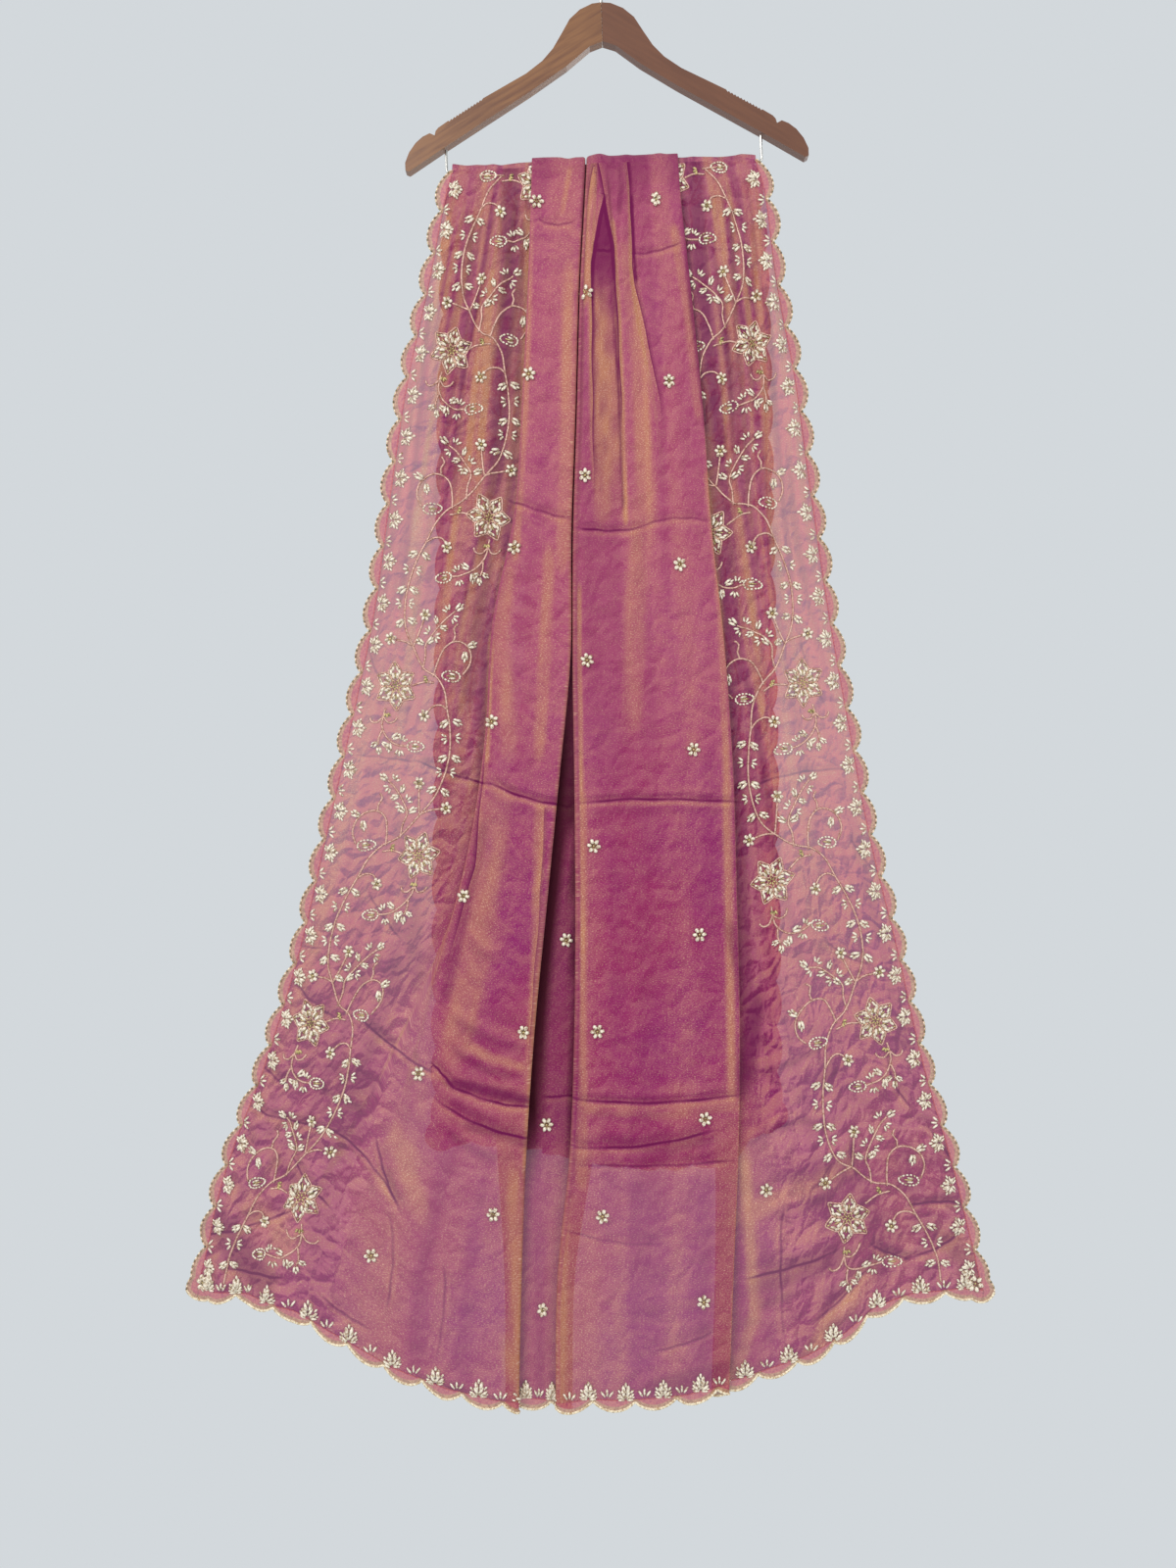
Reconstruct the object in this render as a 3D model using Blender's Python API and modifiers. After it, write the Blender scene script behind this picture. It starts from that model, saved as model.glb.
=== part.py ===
# Dupatta stole of shot organza, folded over the wire bar of a wooden hanger.
# Metres, +Z up. X runs across the cloth and the front fall is on the -Y side.
# The origin is the inner top of the hook, where a rail bears on it.

import math
from collections import namedtuple

import bpy
import bmesh
from mathutils import Vector

MM = 0.001

# Hanger sizes, in mm, in the hanger's own upright frame
HANGER_TILT = math.radians(2.1)
WOOD_THICKNESS = 12.0
WOOD_TOP = -58.0
JOINT_GAP = 0.3
GRIP_START = (131.4, 99.0)
GRIP_END = (169.9, 121.9)
GRIP_TEETH = 12
GRIP_DEPTH = 1.6
HOOK_WIRE_RADIUS = 2.0
HOOK_INNER_RADIUS = 19.0
BAR_RADIUS = 1.5
BAR_HALF_LENGTH = 171.0
BAR_SHIFT = -3.0
BAR_DROP = 175.7
BAR_BEND_RADIUS = 4.0
UPRIGHT_TOP_DROP = 149.2
UPRIGHT_SLOPE = 0.6

# Cloth sizes, in mm
WALL = 1.0
SEAM_GAP = 0.4
BAR_LAYER_PITCH = 2.0
HUNG_LAYER_PITCH = 3.0
FRONT_ROWS = (0.0, 0.02, 0.05, 0.09, 0.13, 0.18, 0.23, 0.29, 0.35, 0.41,
              0.47, 0.53, 0.59, 0.65, 0.71, 0.77, 0.83, 0.89, 0.95, 1.0)
BACK_ROWS = (0.0, 0.04, 0.12, 0.25, 0.4, 0.56, 0.72, 0.87, 1.0)
TURN_STEPS = 5
SCALLOP_DEPTH = 8.0
CUSP_DEPTH = 1.8
SIDE_SCALLOP = 47.0
HEM_SCALLOP = 43.0

# Half of the wood's outline below its top, from the middle of the top to the tip
WoodPoint = namedtuple("WoodPoint", "out drop")
WOOD_SHOULDER = (
    WoodPoint(10.0, 1.0), WoodPoint(23.3, 6.9), WoodPoint(34.8, 16.9), WoodPoint(43.3, 31.0),
    WoodPoint(54.0, 48.0), WoodPoint(66.0, 61.0), WoodPoint(84.0, 74.0),
)
WOOD_TIP = (
    WoodPoint(181.0, 129.0), WoodPoint(184.0, 132.5), WoodPoint(185.2, 137.2), WoodPoint(190.5, 134.6),
    WoodPoint(198.0, 138.0), WoodPoint(206.0, 144.5), WoodPoint(213.5, 154.5), WoodPoint(218.2, 165.5),
    WoodPoint(218.2, 173.5), WoodPoint(214.5, 175.2),
)
WOOD_UNDERSIDE = (
    WoodPoint(170.9, 148.0), WoodPoint(79.0, 92.8), WoodPoint(40.0, 67.5), WoodPoint(14.0, 47.0),
)
WOOD_APEX_DROP = 42.2

# Fold lines across a fall at each share of its length. All are x in mm from the wood's middle,
# except the tucks, which are how far a layer runs hidden under the fold beside it.
Station = namedtuple(
    "Station",
    "share left_rim left_fold left_tuck gap_left left_hide right_hide gap_right"
    " strip_a strip_b strip_c right_fold right_tuck right_rim",
)
FRONT = (
    Station(0.00, -163, -75, 35, -18, 45, 80, -15, -4, 5, 27, 83, 72, 169),
    Station(0.03, -172, -76, 34, -20, 45, 82, -17, -4, 5, 30, 86, 72, 179),
    Station(0.10, -188, -79, 31, -25, 46, 86, -22, -8, 12, 33, 96, 73, 190),
    Station(0.20, -213, -85, 26, -29, 49, 89, -26, -2, 22, 50, 109, 75, 212),
    Station(0.30, -231, -93, 22, -33, 50, 88, -30, 2, 34, 66, 118, 75, 229),
    Station(0.40, -248, -117, 18, -34, 50, 80, -31, 2, 36, 72, 132, 72, 247),
    Station(0.50, -273, -125, 14, -39, 51, 66, -31, 2, 36, 74, 141, 62, 269),
    Station(0.60, -300, -144, 9, -55, 52, 46, -31, 2, 36, 74, 145, 54, 292),
    Station(0.70, -328, -178, 1, -72, 50, 31, -31, 2, 36, 74, 148, 41, 322),
    Station(0.80, -365, -222, -24, -80, 38, 26, -32, 2, 36, 74, 147, 26, 350),
    Station(0.90, -409, -270, -44, -89, 24, 20, -42, -2, 34, 72, 142, 21, 385),
    Station(1.00, -437, -312, -60, -97, 20, 18, -42, -2, 32, 70, 137, 20, 414),
)
BACK = (
    Station(0.00, -163, -75, 35, -18, 45, 80, -15, -4, 5, 27, 83, 72, 169),
    Station(0.10, -171, -77, 35, -19, 45, 80, -15, -2, 9, 32, 85, 72, 178),
    Station(0.40, -176, -80, 34, -21, 44, 79, -16, 6, 24, 48, 88, 71, 185),
    Station(0.70, -179, -83, 33, -22, 43, 78, -15, 8, 28, 52, 91, 71, 190),
    Station(1.00, -181, -84, 32, -22, 42, 77, -15, 8, 28, 54, 92, 70, 193),
)

# Drop of each hem below the wood's top, in mm, at x from the wood's middle
HemPoint = namedtuple("HemPoint", "x drop")
FRONT_HEM = (
    HemPoint(-440, 1398), HemPoint(-379, 1404), HemPoint(-331, 1419), HemPoint(-278, 1446),
    HemPoint(-226, 1477), HemPoint(-162, 1501), HemPoint(-110, 1513), HemPoint(-57, 1518),
    HemPoint(-15, 1511), HemPoint(27, 1513), HemPoint(91, 1508), HemPoint(154, 1492),
    HemPoint(217, 1471), HemPoint(260, 1445), HemPoint(291, 1419), HemPoint(333, 1404),
    HemPoint(381, 1397), HemPoint(415, 1402),
)
BACK_HEM = (
    HemPoint(-190, 1242), HemPoint(-120, 1245), HemPoint(-60, 1252), HemPoint(0, 1263),
    HemPoint(80, 1272), HemPoint(140, 1268), HemPoint(165, 1238), HemPoint(200, 1212),
)

# Layer that each stretch of the section lies on, counted out from the bar, and its inner points
Run = namedtuple("Run", "layer points")
LEFT_BORDER = Run(2, 8)
LEFT_RETURN = Run(3, 0)
LEFT_PANEL = Run(4, 5)
LEFT_INNER = Run(1, 1)
DEEP_LAYER = Run(0, 3)
RIGHT_INNER = Run(1, 2)
RIGHT_PANEL = Run(4, 3)
RIGHT_RETURN = Run(3, 1)
RIGHT_BORDER = Run(2, 8)
STRIP_RISE = 2.4
STRIP_EDGE = 1.2


def blend(low, high, value):
    share = min(1.0, max(0.0, (value - low) / (high - low)))
    return share * share * (3.0 - 2.0 * share)


def mix(start, end, share):
    return start + (end - start) * share


def station_at(table, share):
    # Catmull-Rom between the table's rows, so that the fold lines run smoothly
    index = 0
    while index < len(table) - 2 and share > table[index + 1].share:
        index += 1
    before = table[max(index - 1, 0)]
    start = table[index]
    end = table[index + 1]
    after = table[min(index + 2, len(table) - 1)]
    step = end.share - start.share
    t = (share - start.share) / step
    values = []
    for a, b, c, d in zip(before, start, end, after):
        slope_b = (c - a) / (end.share - before.share) * step
        slope_c = (d - b) / (after.share - start.share) * step
        cube = t * t * t
        square = t * t
        values.append(
            (2 * cube - 3 * square + 1) * b + (cube - 2 * square + t) * slope_b
            + (3 * square - 2 * cube) * c + (cube - square) * slope_c
        )
    return Station(*values)._replace(share=share)


def hem_drop(table, x):
    index = 0
    while index < len(table) - 2 and x > table[index + 1].x:
        index += 1
    start = table[index]
    end = table[index + 1]
    share = min(1.0, max(0.0, (x - start.x) / (end.x - start.x)))
    return mix(start.drop, end.drop, share)


def fold_turn(x, side, layer_in, layer_out, tuck, pitch):
    # Four points round a fold. A tuck that has run out opens into a slope.
    height = abs(layer_out - layer_in) * pitch
    radius = 0.5 * height * min(1.0, max(0.0, 0.4 * tuck / height))
    spread = 0.8 * min(25.0, max(0.0, -tuck))
    points = []
    for share in (0.0, 0.25, 0.75, 1.0):
        hold = 1.0 - math.sqrt(1.0 - (2.0 * share - 1.0) ** 2)
        points.append((x - side * radius * hold + spread * (share - 0.5), mix(layer_in, layer_out, share)))
    return points


def stretch(start, end, run):
    points = []
    for number in range(run.points):
        share = (number + 1) / (run.points + 1)
        points.append((mix(start, end, share), run.layer))
    return points


def strip_points(place, rise):
    # The panel's raised strips: high beside the gap, low in the recess, high again
    points = []
    for edge, inside, outside in (
        (place.strip_a, 1.0, 0.0), (place.strip_b, 0.0, 1.0), (place.strip_c, 1.0, 0.0),
    ):
        points.append((edge - STRIP_EDGE, RIGHT_PANEL.layer + inside * rise))
        points.append((edge + STRIP_EDGE, RIGHT_PANEL.layer + outside * rise))
    return points


def section(place, pitch):
    # (x, layer) along the cloth from its left rim to its right rim
    left_inner = place.left_fold + place.left_tuck
    gap_left_inner = place.gap_left - place.left_hide
    gap_right_inner = place.gap_right + place.right_hide
    right_inner = place.right_fold - place.right_tuck
    rise = STRIP_RISE * (1.0 - blend(0.06, 0.22, place.share)) / pitch
    # x, side, layer in, layer out, tuck of each fold, and the run and strips before it
    folds = (
        (left_inner, 1, 2.0, 2.8, place.left_tuck, LEFT_BORDER),
        (place.left_fold, -1, 3.2, 4.0, place.left_tuck, LEFT_RETURN),
        (place.gap_left, 1, 4.0, 1.0, place.left_hide, LEFT_PANEL),
        (gap_left_inner, -1, 1.0, 0.0, place.left_hide, LEFT_INNER),
        (gap_right_inner, 1, 0.0, 1.0, place.right_hide, DEEP_LAYER),
        (place.gap_right, -1, 1.0, 4.0, place.right_hide, RIGHT_INNER),
        (place.right_fold, 1, 4.0, 3.0, place.right_tuck, RIGHT_PANEL),
        (right_inner, -1, 3.0, 2.0, place.right_tuck, RIGHT_RETURN),
    )
    points = [(place.left_rim, LEFT_BORDER.layer)]
    for x, side, layer_in, layer_out, tuck, run in folds:
        turn = fold_turn(x, side, layer_in, layer_out, tuck, pitch)
        if run is RIGHT_PANEL:
            points += strip_points(place, rise)
        points += stretch(points[-1][0], turn[0][0], run)
        points += turn
    points += stretch(points[-1][0], place.right_rim, RIGHT_BORDER)
    points.append((place.right_rim, RIGHT_BORDER.layer))
    return points


def border_wave(across, share, waves, phase):
    # Gathers in a border, dying out at its rim and where the panel beside it begins
    window = blend(0.02, 0.2, across) * (1.0 - blend(0.72, 0.95, across))
    height = 4.5 * blend(0.0, 0.12, share) * (1.0 - 0.35 * share)
    return height * window * (1.0 - math.cos(2.0 * math.pi * (waves * across + phase)))


def front_form(place, x):
    # How far the hung cloth swells out, by place alone, so that its layers stay apart
    swell = 7.0 * blend(0.0, 0.5, place.share)
    if x < place.left_fold:
        across = (x - place.left_rim) / (place.left_fold - place.left_rim)
        return swell * across + border_wave(across, place.share, 2.0, 0.1)
    if x > place.right_fold:
        across = (place.right_rim - x) / (place.right_rim - place.right_fold)
        return swell * across + border_wave(across, place.share, 2.0, 0.35)
    across = (x - place.left_fold) / (place.right_fold - place.left_fold)
    return swell * (1.0 + 0.5 * math.sin(math.pi * across))


def back_form(place, x):
    across = (x - place.left_rim) / (place.right_rim - place.left_rim)
    return 4.0 * blend(0.0, 0.3, place.share) * (1.0 - math.cos(4.0 * math.pi * across))


def world(x, y, z):
    # From mm about the wood's top to metres about the hook's seat
    shift = -WOOD_TOP * math.sin(HANGER_TILT)
    return Vector(((x + shift) * MM, y * MM, z * MM))


def bar_height(x):
    return (WOOD_TOP - BAR_DROP) / math.cos(HANGER_TILT) + x * math.tan(HANGER_TILT)


def layer_out(layer, pitch):
    return BAR_RADIUS + 0.3 + WALL / 2 + layer * pitch


def fall_rows(table, hem, rows, form, side):
    top = section(table[0], BAR_LAYER_PITCH)
    hem_line = section(table[-1], HUNG_LAYER_PITCH)
    grid = []
    for share in rows:
        place = station_at(table, share)
        pitch = mix(BAR_LAYER_PITCH, HUNG_LAYER_PITCH, blend(0.0, 0.3, share))
        row = []
        for number, (x, layer) in enumerate(section(place, pitch)):
            start = bar_height(top[number][0]) - SEAM_GAP
            end = WOOD_TOP - hem_drop(hem, hem_line[number][0]) + SCALLOP_DEPTH
            out = layer_out(layer, pitch) + form(place, x)
            row.append(world(x, side * out, mix(start, end, share)))
        grid.append(row)
    return grid


def turn_rows():
    grid = []
    for step in range(TURN_STEPS + 1):
        angle = math.pi * step / TURN_STEPS
        row = []
        for x, layer in section(FRONT[0], BAR_LAYER_PITCH):
            out = layer_out(layer, BAR_LAYER_PITCH)
            row.append(world(x, -out * math.cos(angle), bar_height(x) + out * math.sin(angle)))
        grid.append(row)
    return grid


def scallop_reach(length, pitch):
    # Three straight lengths to a scallop: out from the cusp, along its crown, and back
    share = (length / pitch) % 1.0
    crown = min(1.0, share / 0.33, (1.0 - share) / 0.33)
    return CUSP_DEPTH + (SCALLOP_DEPTH - CUSP_DEPTH) * math.sin(0.5 * math.pi * max(0.0, crown))


def lengths_along(points):
    lengths = [0.0]
    for start, end in zip(points, points[1:]):
        lengths.append(lengths[-1] + (end - start).length / MM)
    return lengths


def point_at(points, lengths, length):
    index = 0
    while index < len(lengths) - 2 and length > lengths[index + 1]:
        index += 1
    share = (length - lengths[index]) / (lengths[index + 1] - lengths[index])
    return points[index].lerp(points[index + 1], share)


def side_edging(grid, rim, beside):
    # A scalloped strip that follows one side rim of a fall
    edge = [row[rim] for row in grid]
    inner = [row[beside] for row in grid]
    lengths = lengths_along(edge)
    count = round(lengths[-1] / SIDE_SCALLOP)
    pitch = lengths[-1] / count
    near = []
    far = []
    for step in range(3 * count + 1):
        length = min(step * pitch / 3, lengths[-1])
        place = point_at(edge, lengths, length)
        away = (place - point_at(inner, lengths, length)).normalized()
        near.append(place + away * SEAM_GAP * MM)
        far.append(place + away * (SEAM_GAP + scallop_reach(length, pitch)) * MM)
    return [near, far]


def hem_edging(grid):
    # A scalloped strip under the hem, through every fold of it
    hem = grid[-1]
    lengths = lengths_along(hem)
    count = round(lengths[-1] / HEM_SCALLOP)
    pitch = lengths[-1] / count
    near = []
    far = []
    for start, end in zip(range(len(hem) - 1), range(1, len(hem))):
        pieces = max(1, round((lengths[end] - lengths[start]) / 12.0))
        for piece in range(pieces):
            length = mix(lengths[start], lengths[end], piece / pieces)
            place = hem[start].lerp(hem[end], piece / pieces)
            near.append(place - Vector((0, 0, SEAM_GAP * MM)))
            far.append(place - Vector((0, 0, (SEAM_GAP + scallop_reach(length, pitch)) * MM)))
    near.append(hem[-1] - Vector((0, 0, SEAM_GAP * MM)))
    far.append(hem[-1] - Vector((0, 0, (SEAM_GAP + CUSP_DEPTH) * MM)))
    return [near, far]


def make_material(name, colour, roughness, metallic):
    material = bpy.data.materials.new(name)
    material.use_nodes = True
    shader = material.node_tree.nodes["Principled BSDF"]
    shader.inputs["Base Color"].default_value = (*colour, 1.0)
    shader.inputs["Roughness"].default_value = roughness
    shader.inputs["Metallic"].default_value = metallic
    return material


def add_object(name, data, collection, material):
    item = bpy.data.objects.new(name, data)
    data.materials.append(material)
    collection.objects.link(item)
    return item


def cloth_wall(name, grid, collection, material, flip):
    # The middle surface as a grid, thickened to the cloth's wall
    mesh = bpy.data.meshes.new(name)
    width = len(grid[0])
    points = [point for row in grid for point in row]
    faces = []
    for row in range(len(grid) - 1):
        for column in range(width - 1):
            first = row * width + column
            corners = (first, first + 1, first + 1 + width, first + width)
            faces.append(tuple(reversed(corners)) if flip else corners)
    mesh.from_pydata(points, [], faces)
    mesh.shade_smooth()
    item = add_object(name, mesh, collection, material)
    wall = item.modifiers.new("wall", "SOLIDIFY")
    wall.thickness = WALL * MM
    wall.offset = 0.0
    return item


def wood_half(side):
    # One half of the wood: shoulder, grip teeth, strap notch, rounded tip and underside
    outline = [WoodPoint(JOINT_GAP / 2, 0.0)] + list(WOOD_SHOULDER)
    for tooth in range(GRIP_TEETH):
        for share, depth in ((0.0, 0.0), (0.6, GRIP_DEPTH)):
            along = (tooth + share) / GRIP_TEETH
            outline.append(WoodPoint(
                mix(GRIP_START[0], GRIP_END[0], along), mix(GRIP_START[1], GRIP_END[1], along) + depth,
            ))
    outline += [WoodPoint(*GRIP_END)]
    outline += list(WOOD_TIP) + list(WOOD_UNDERSIDE) + [WoodPoint(JOINT_GAP / 2, WOOD_APEX_DROP)]
    return [Vector((side * point.out * MM, 0.0, (WOOD_TOP - point.drop) * MM)) for point in outline]


def make_wood(name, side, collection, material):
    # The outline as one face, pushed out to the wood's thickness with eased edges
    shape = bmesh.new()
    front = -WOOD_THICKNESS / 2 * MM
    verts = [shape.verts.new((point.x, front, point.z)) for point in wood_half(side)]
    face = shape.faces.new(verts)
    pushed = bmesh.ops.extrude_face_region(shape, geom=[face])
    moved = [item for item in pushed["geom"] if isinstance(item, bmesh.types.BMVert)]
    bmesh.ops.translate(shape, verts=moved, vec=(0.0, WOOD_THICKNESS * MM, 0.0))
    bmesh.ops.recalc_face_normals(shape, faces=shape.faces[:])
    mesh = bpy.data.meshes.new(name)
    shape.to_mesh(mesh)
    shape.free()
    item = add_object(name, mesh, collection, material)
    item.rotation_euler.y = -HANGER_TILT
    return item


def make_wire(name, points, radius, collection, material):
    curve = bpy.data.curves.new(name, "CURVE")
    curve.dimensions = "3D"
    curve.bevel_depth = radius * MM
    curve.bevel_resolution = 2
    curve.use_fill_caps = True
    line = curve.splines.new("POLY")
    line.points.add(len(points) - 1)
    for place, (x, z) in zip(line.points, points):
        place.co = (x * MM, 0.0, z * MM, 1.0)
    item = add_object(name, curve, collection, material)
    item.rotation_euler.y = -HANGER_TILT
    return item


def arc(centre_x, centre_z, radius, start, end, steps):
    points = []
    for step in range(steps + 1):
        angle = math.radians(mix(start, end, step / steps))
        points.append((centre_x + radius * math.cos(angle), centre_z + radius * math.sin(angle)))
    return points


def hook_points():
    # From the tip over the rail's place, round below it, and down the shank to the wood
    radius = HOOK_INNER_RADIUS + HOOK_WIRE_RADIUS
    loop = arc(0.0, -HOOK_INNER_RADIUS, radius, 195.0, -42.0, 18)
    start_x, start_z = loop[-1]
    knee = ((8.6, -41.5), (3.2, -44.5), (0.6, -48.5))
    end = (0.0, WOOD_TOP + JOINT_GAP)
    return [*loop, (start_x - 3.4, start_z - 3.6), *knee, (0.0, -52.0), end]


def bar_points():
    # Down the left upright, along the bar that carries the cloth, and up the right upright
    bend = BAR_BEND_RADIUS
    low = WOOD_TOP - BAR_DROP
    start = BAR_SHIFT - BAR_HALF_LENGTH
    end = BAR_SHIFT + BAR_HALF_LENGTH
    left = arc(start + bend, low + bend, bend, 180.0, 270.0, 5)
    right = arc(end - bend, low + bend, bend, 270.0, 360.0, 5)
    left_top = WOOD_TOP - UPRIGHT_TOP_DROP + BAR_SHIFT * UPRIGHT_SLOPE
    right_top = WOOD_TOP - UPRIGHT_TOP_DROP - BAR_SHIFT * UPRIGHT_SLOPE
    return [(start, left_top), *left, *right, (end, right_top)]


def build():
    for item in list(bpy.data.objects):
        bpy.data.objects.remove(item)
    collection = bpy.data.collections.new("dupatta_on_hanger")
    bpy.context.scene.collection.children.link(collection)

    organza = make_material("organza", (0.42, 0.09, 0.19), 0.45, 0.0)
    edging = make_material("zari_edging", (0.62, 0.45, 0.32), 0.4, 0.3)
    wood = make_material("hanger_wood", (0.3, 0.15, 0.09), 0.35, 0.0)
    steel = make_material("steel_wire", (0.6, 0.58, 0.55), 0.25, 1.0)

    front = fall_rows(FRONT, FRONT_HEM, FRONT_ROWS, front_form, -1)
    back = fall_rows(BACK, BACK_HEM, BACK_ROWS, back_form, 1)
    cloth_wall("cloth_front_fall", front, collection, organza, False)
    cloth_wall("cloth_bar_turn", turn_rows(), collection, organza, True)
    cloth_wall("cloth_back_fall", back, collection, organza, True)

    for name, grid, flip in (("front", front, False), ("back", back, True)):
        cloth_wall(f"edging_{name}_left", side_edging(grid, 0, 1), collection, edging, flip)
        cloth_wall(f"edging_{name}_right", side_edging(grid, -1, -2), collection, edging, not flip)
        cloth_wall(f"edging_{name}_hem", hem_edging(grid), collection, edging, flip)

    make_wood("hanger_wood_left", -1, collection, wood)
    make_wood("hanger_wood_right", 1, collection, wood)
    make_wire("hanger_hook", hook_points(), HOOK_WIRE_RADIUS, collection, steel)
    make_wire("hanger_wire_bar", bar_points(), BAR_RADIUS, collection, steel)


build()
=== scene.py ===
import math

import bpy
import numpy as np
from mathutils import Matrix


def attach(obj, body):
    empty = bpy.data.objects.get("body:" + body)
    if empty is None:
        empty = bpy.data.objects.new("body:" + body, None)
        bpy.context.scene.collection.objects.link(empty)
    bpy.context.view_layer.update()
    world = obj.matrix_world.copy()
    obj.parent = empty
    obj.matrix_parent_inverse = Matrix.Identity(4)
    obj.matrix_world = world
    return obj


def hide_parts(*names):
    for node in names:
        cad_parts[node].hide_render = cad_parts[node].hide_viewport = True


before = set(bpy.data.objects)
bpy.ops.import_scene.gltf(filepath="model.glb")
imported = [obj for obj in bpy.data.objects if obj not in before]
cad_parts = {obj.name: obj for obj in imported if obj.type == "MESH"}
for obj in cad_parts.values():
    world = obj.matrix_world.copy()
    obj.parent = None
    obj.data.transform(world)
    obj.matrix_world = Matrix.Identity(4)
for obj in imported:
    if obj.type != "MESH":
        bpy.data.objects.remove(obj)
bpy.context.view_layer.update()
mm = 0.001

# The hanger leans a little, and everything below its hook leans with it
hanger = {
    "tilt": math.radians(2.1),
    "woodTop": -58.0,
    "barDrop": 175.7,
    "barRadius": 1.5,
}

# Cut of the cloth and how it stacks on the bar, in mm
cloth = {
    "width": 1000.0,
    "length": 2430.0,
    "frontLength": 1340.0,
    "backLength": 1060.0,
    "solidWall": 1.0,
    "solidScallop": 8.0,
    "barGap": 0.3,
    "barPitch": 2.0,
    "hungPitch": 3.0,
    "sideScallop": 49.6,
    "hemScallop": 43.5,
    "setBack": 1.8,
    "cusp": 0.3,
    "crown": 11.0,
}
halfWidth = cloth["width"] / 2

# Fold lines at each share of the fall, in mm from the middle of the wood
foldColumns = (
    "share", "leftRim", "leftFold", "leftTuck", "gapLeft", "leftHide", "rightHide", "gapRight",
    "stripA", "stripB", "stripC", "rightFold", "rightTuck", "rightRim",
)
frontFolds = (
    (0.00, -163, -75, 35, -17, 45, 80, -16, -4, 5, 27, 83, 72, 169),
    (0.03, -172, -76, 34, -19, 45, 82, -18, -6, 8, 31, 86, 72, 179),
    (0.10, -188, -79, 31, -24, 46, 86, -23, -10, 16, 34, 96, 73, 190),
    (0.20, -213, -85, 26, -27.5, 49, 89, -26.5, -10, 22, 58, 109, 75, 212),
    (0.30, -231, -93, 22, -32, 50, 88, -30.5, -6, 30, 72, 118, 75, 229),
    (0.40, -248, -117, 18, -32.8, 50, 80, -31, 2, 36, 76, 132, 72, 247),
    (0.50, -273, -125, 14, -45, 51, 66, -29, 2, 36, 78, 141, 62, 269),
    (0.60, -300, -144, 9, -58, 52, 46, -28, 2, 36, 74, 145, 54, 292),
    (0.70, -328, -178, 1, -71, 48, 31, -29, 2, 36, 74, 148, 41, 322),
    (0.80, -365, -222, -24, -80, 32, 26, -34, 2, 36, 74, 147, 26, 350),
    (0.90, -409, -270, -44, -85, 19, 19, -47, -2, 34, 72, 142, 20, 385),
    (1.00, -437, -312, -60, -88, 15, 18, -49, -2, 32, 70, 137, 19, 414),
)
backFolds = (
    (0.00, -163, -75, 35, -18, 45, 80, -15, -4, 5, 27, 83, 72, 169),
    (0.10, -171, -77, 35, -19, 45, 80, -15, -2, 9, 32, 85, 72, 178),
    (0.40, -176, -80, 34, -21, 44, 79, -16, 6, 24, 48, 88, 71, 185),
    (0.70, -179, -83, 33, -22, 43, 78, -15, 8, 28, 52, 91, 71, 190),
    (1.00, -181, -84, 32, -22, 42, 77, -15, 8, 28, 54, 92, 70, 193),
)

# Where those folds lie on the flat cloth, in mm from its middle
markColumns = ("share", "tuck", "fold", "gapLeft", "gapRight", "rightFold", "rightTuck")
frontMarks = (
    (0.0, -335, -300, -247, 55, 220, 295),
    (0.1, -331, -300, -245, 54, 220, 295),
    (0.2, -326, -300, -240, 50, 220, 295),
    (0.3, -322, -300, -236, 47, 220, 295),
    (0.4, -318, -300, -222, 45, 220, 292),
    (0.5, -314, -300, -209, 42, 220, 282),
    (0.6, -309, -300, -203, 39, 220, 274),
    (0.7, -303, -300, -166, 36, 218, 259),
    (0.8, -341, -317, -152, 24, 214, 240),
    (0.9, -370, -326, -138, 11, 210, 231),
    (1.0, -406, -346, -135, 8, 208, 228),
)
backMarks = (
    (0.0, -335, -300, -247, 55, 220, 295),
    (1.0, -335, -300, -247, 55, 220, 295),
)

# Drop of each hem below the wood's top, in mm, at x from the middle of the wood
frontHem = (
    (-440, 1398), (-379, 1404), (-331, 1419), (-278, 1446), (-226, 1477), (-162, 1501),
    (-110, 1513), (-57, 1518), (-15, 1511), (27, 1513), (91, 1508), (154, 1492), (217, 1471),
    (260, 1445), (291, 1419), (333, 1404), (381, 1397), (415, 1402),
)
backHem = (
    (-190, 1242), (-120, 1245), (-60, 1252), (0, 1263), (80, 1272), (140, 1268), (165, 1238), (200, 1212),
)

# How finely each stretch across the cloth is divided
meshDivisions = {
    "leftBorder": 62, "leftReturn": 4, "leftPanel": 34, "leftInner": 3, "deepLayer": 12,
    "rightInner": 5, "rightPanel": 66, "rightReturn": 6, "rightBorder": 70,
    "foldTurn": 6, "frontRows": 310, "backRows": 150, "turnRows": 14,
}


def blend(low, high, value):
    share = np.clip((value - low) / (high - low), 0.0, 1.0)
    return share * share * (3.0 - 2.0 * share)


def mix(start, end, share):
    return start + (end - start) * share


def smoothTable(table, columns, share):
    # Reads a table of stations smoothly between its rows
    rows = np.array(table, dtype=float)
    index = int(np.clip(np.searchsorted(rows[:, 0], share) - 1, 0, len(rows) - 2))
    before, start, end = rows[max(index - 1, 0)], rows[index], rows[index + 1]
    after = rows[min(index + 2, len(rows) - 1)]
    step = end[0] - start[0]
    t = (share - start[0]) / step
    slopeStart = (end - before) / (end[0] - before[0]) * step
    slopeEnd = (after - start) / (after[0] - start[0]) * step
    values = (
        (2 * t**3 - 3 * t**2 + 1) * start + (t**3 - 2 * t**2 + t) * slopeStart
        + (3 * t**2 - 2 * t**3) * end + (t**3 - t**2) * slopeEnd
    )
    return dict(zip(columns, values))


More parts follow.
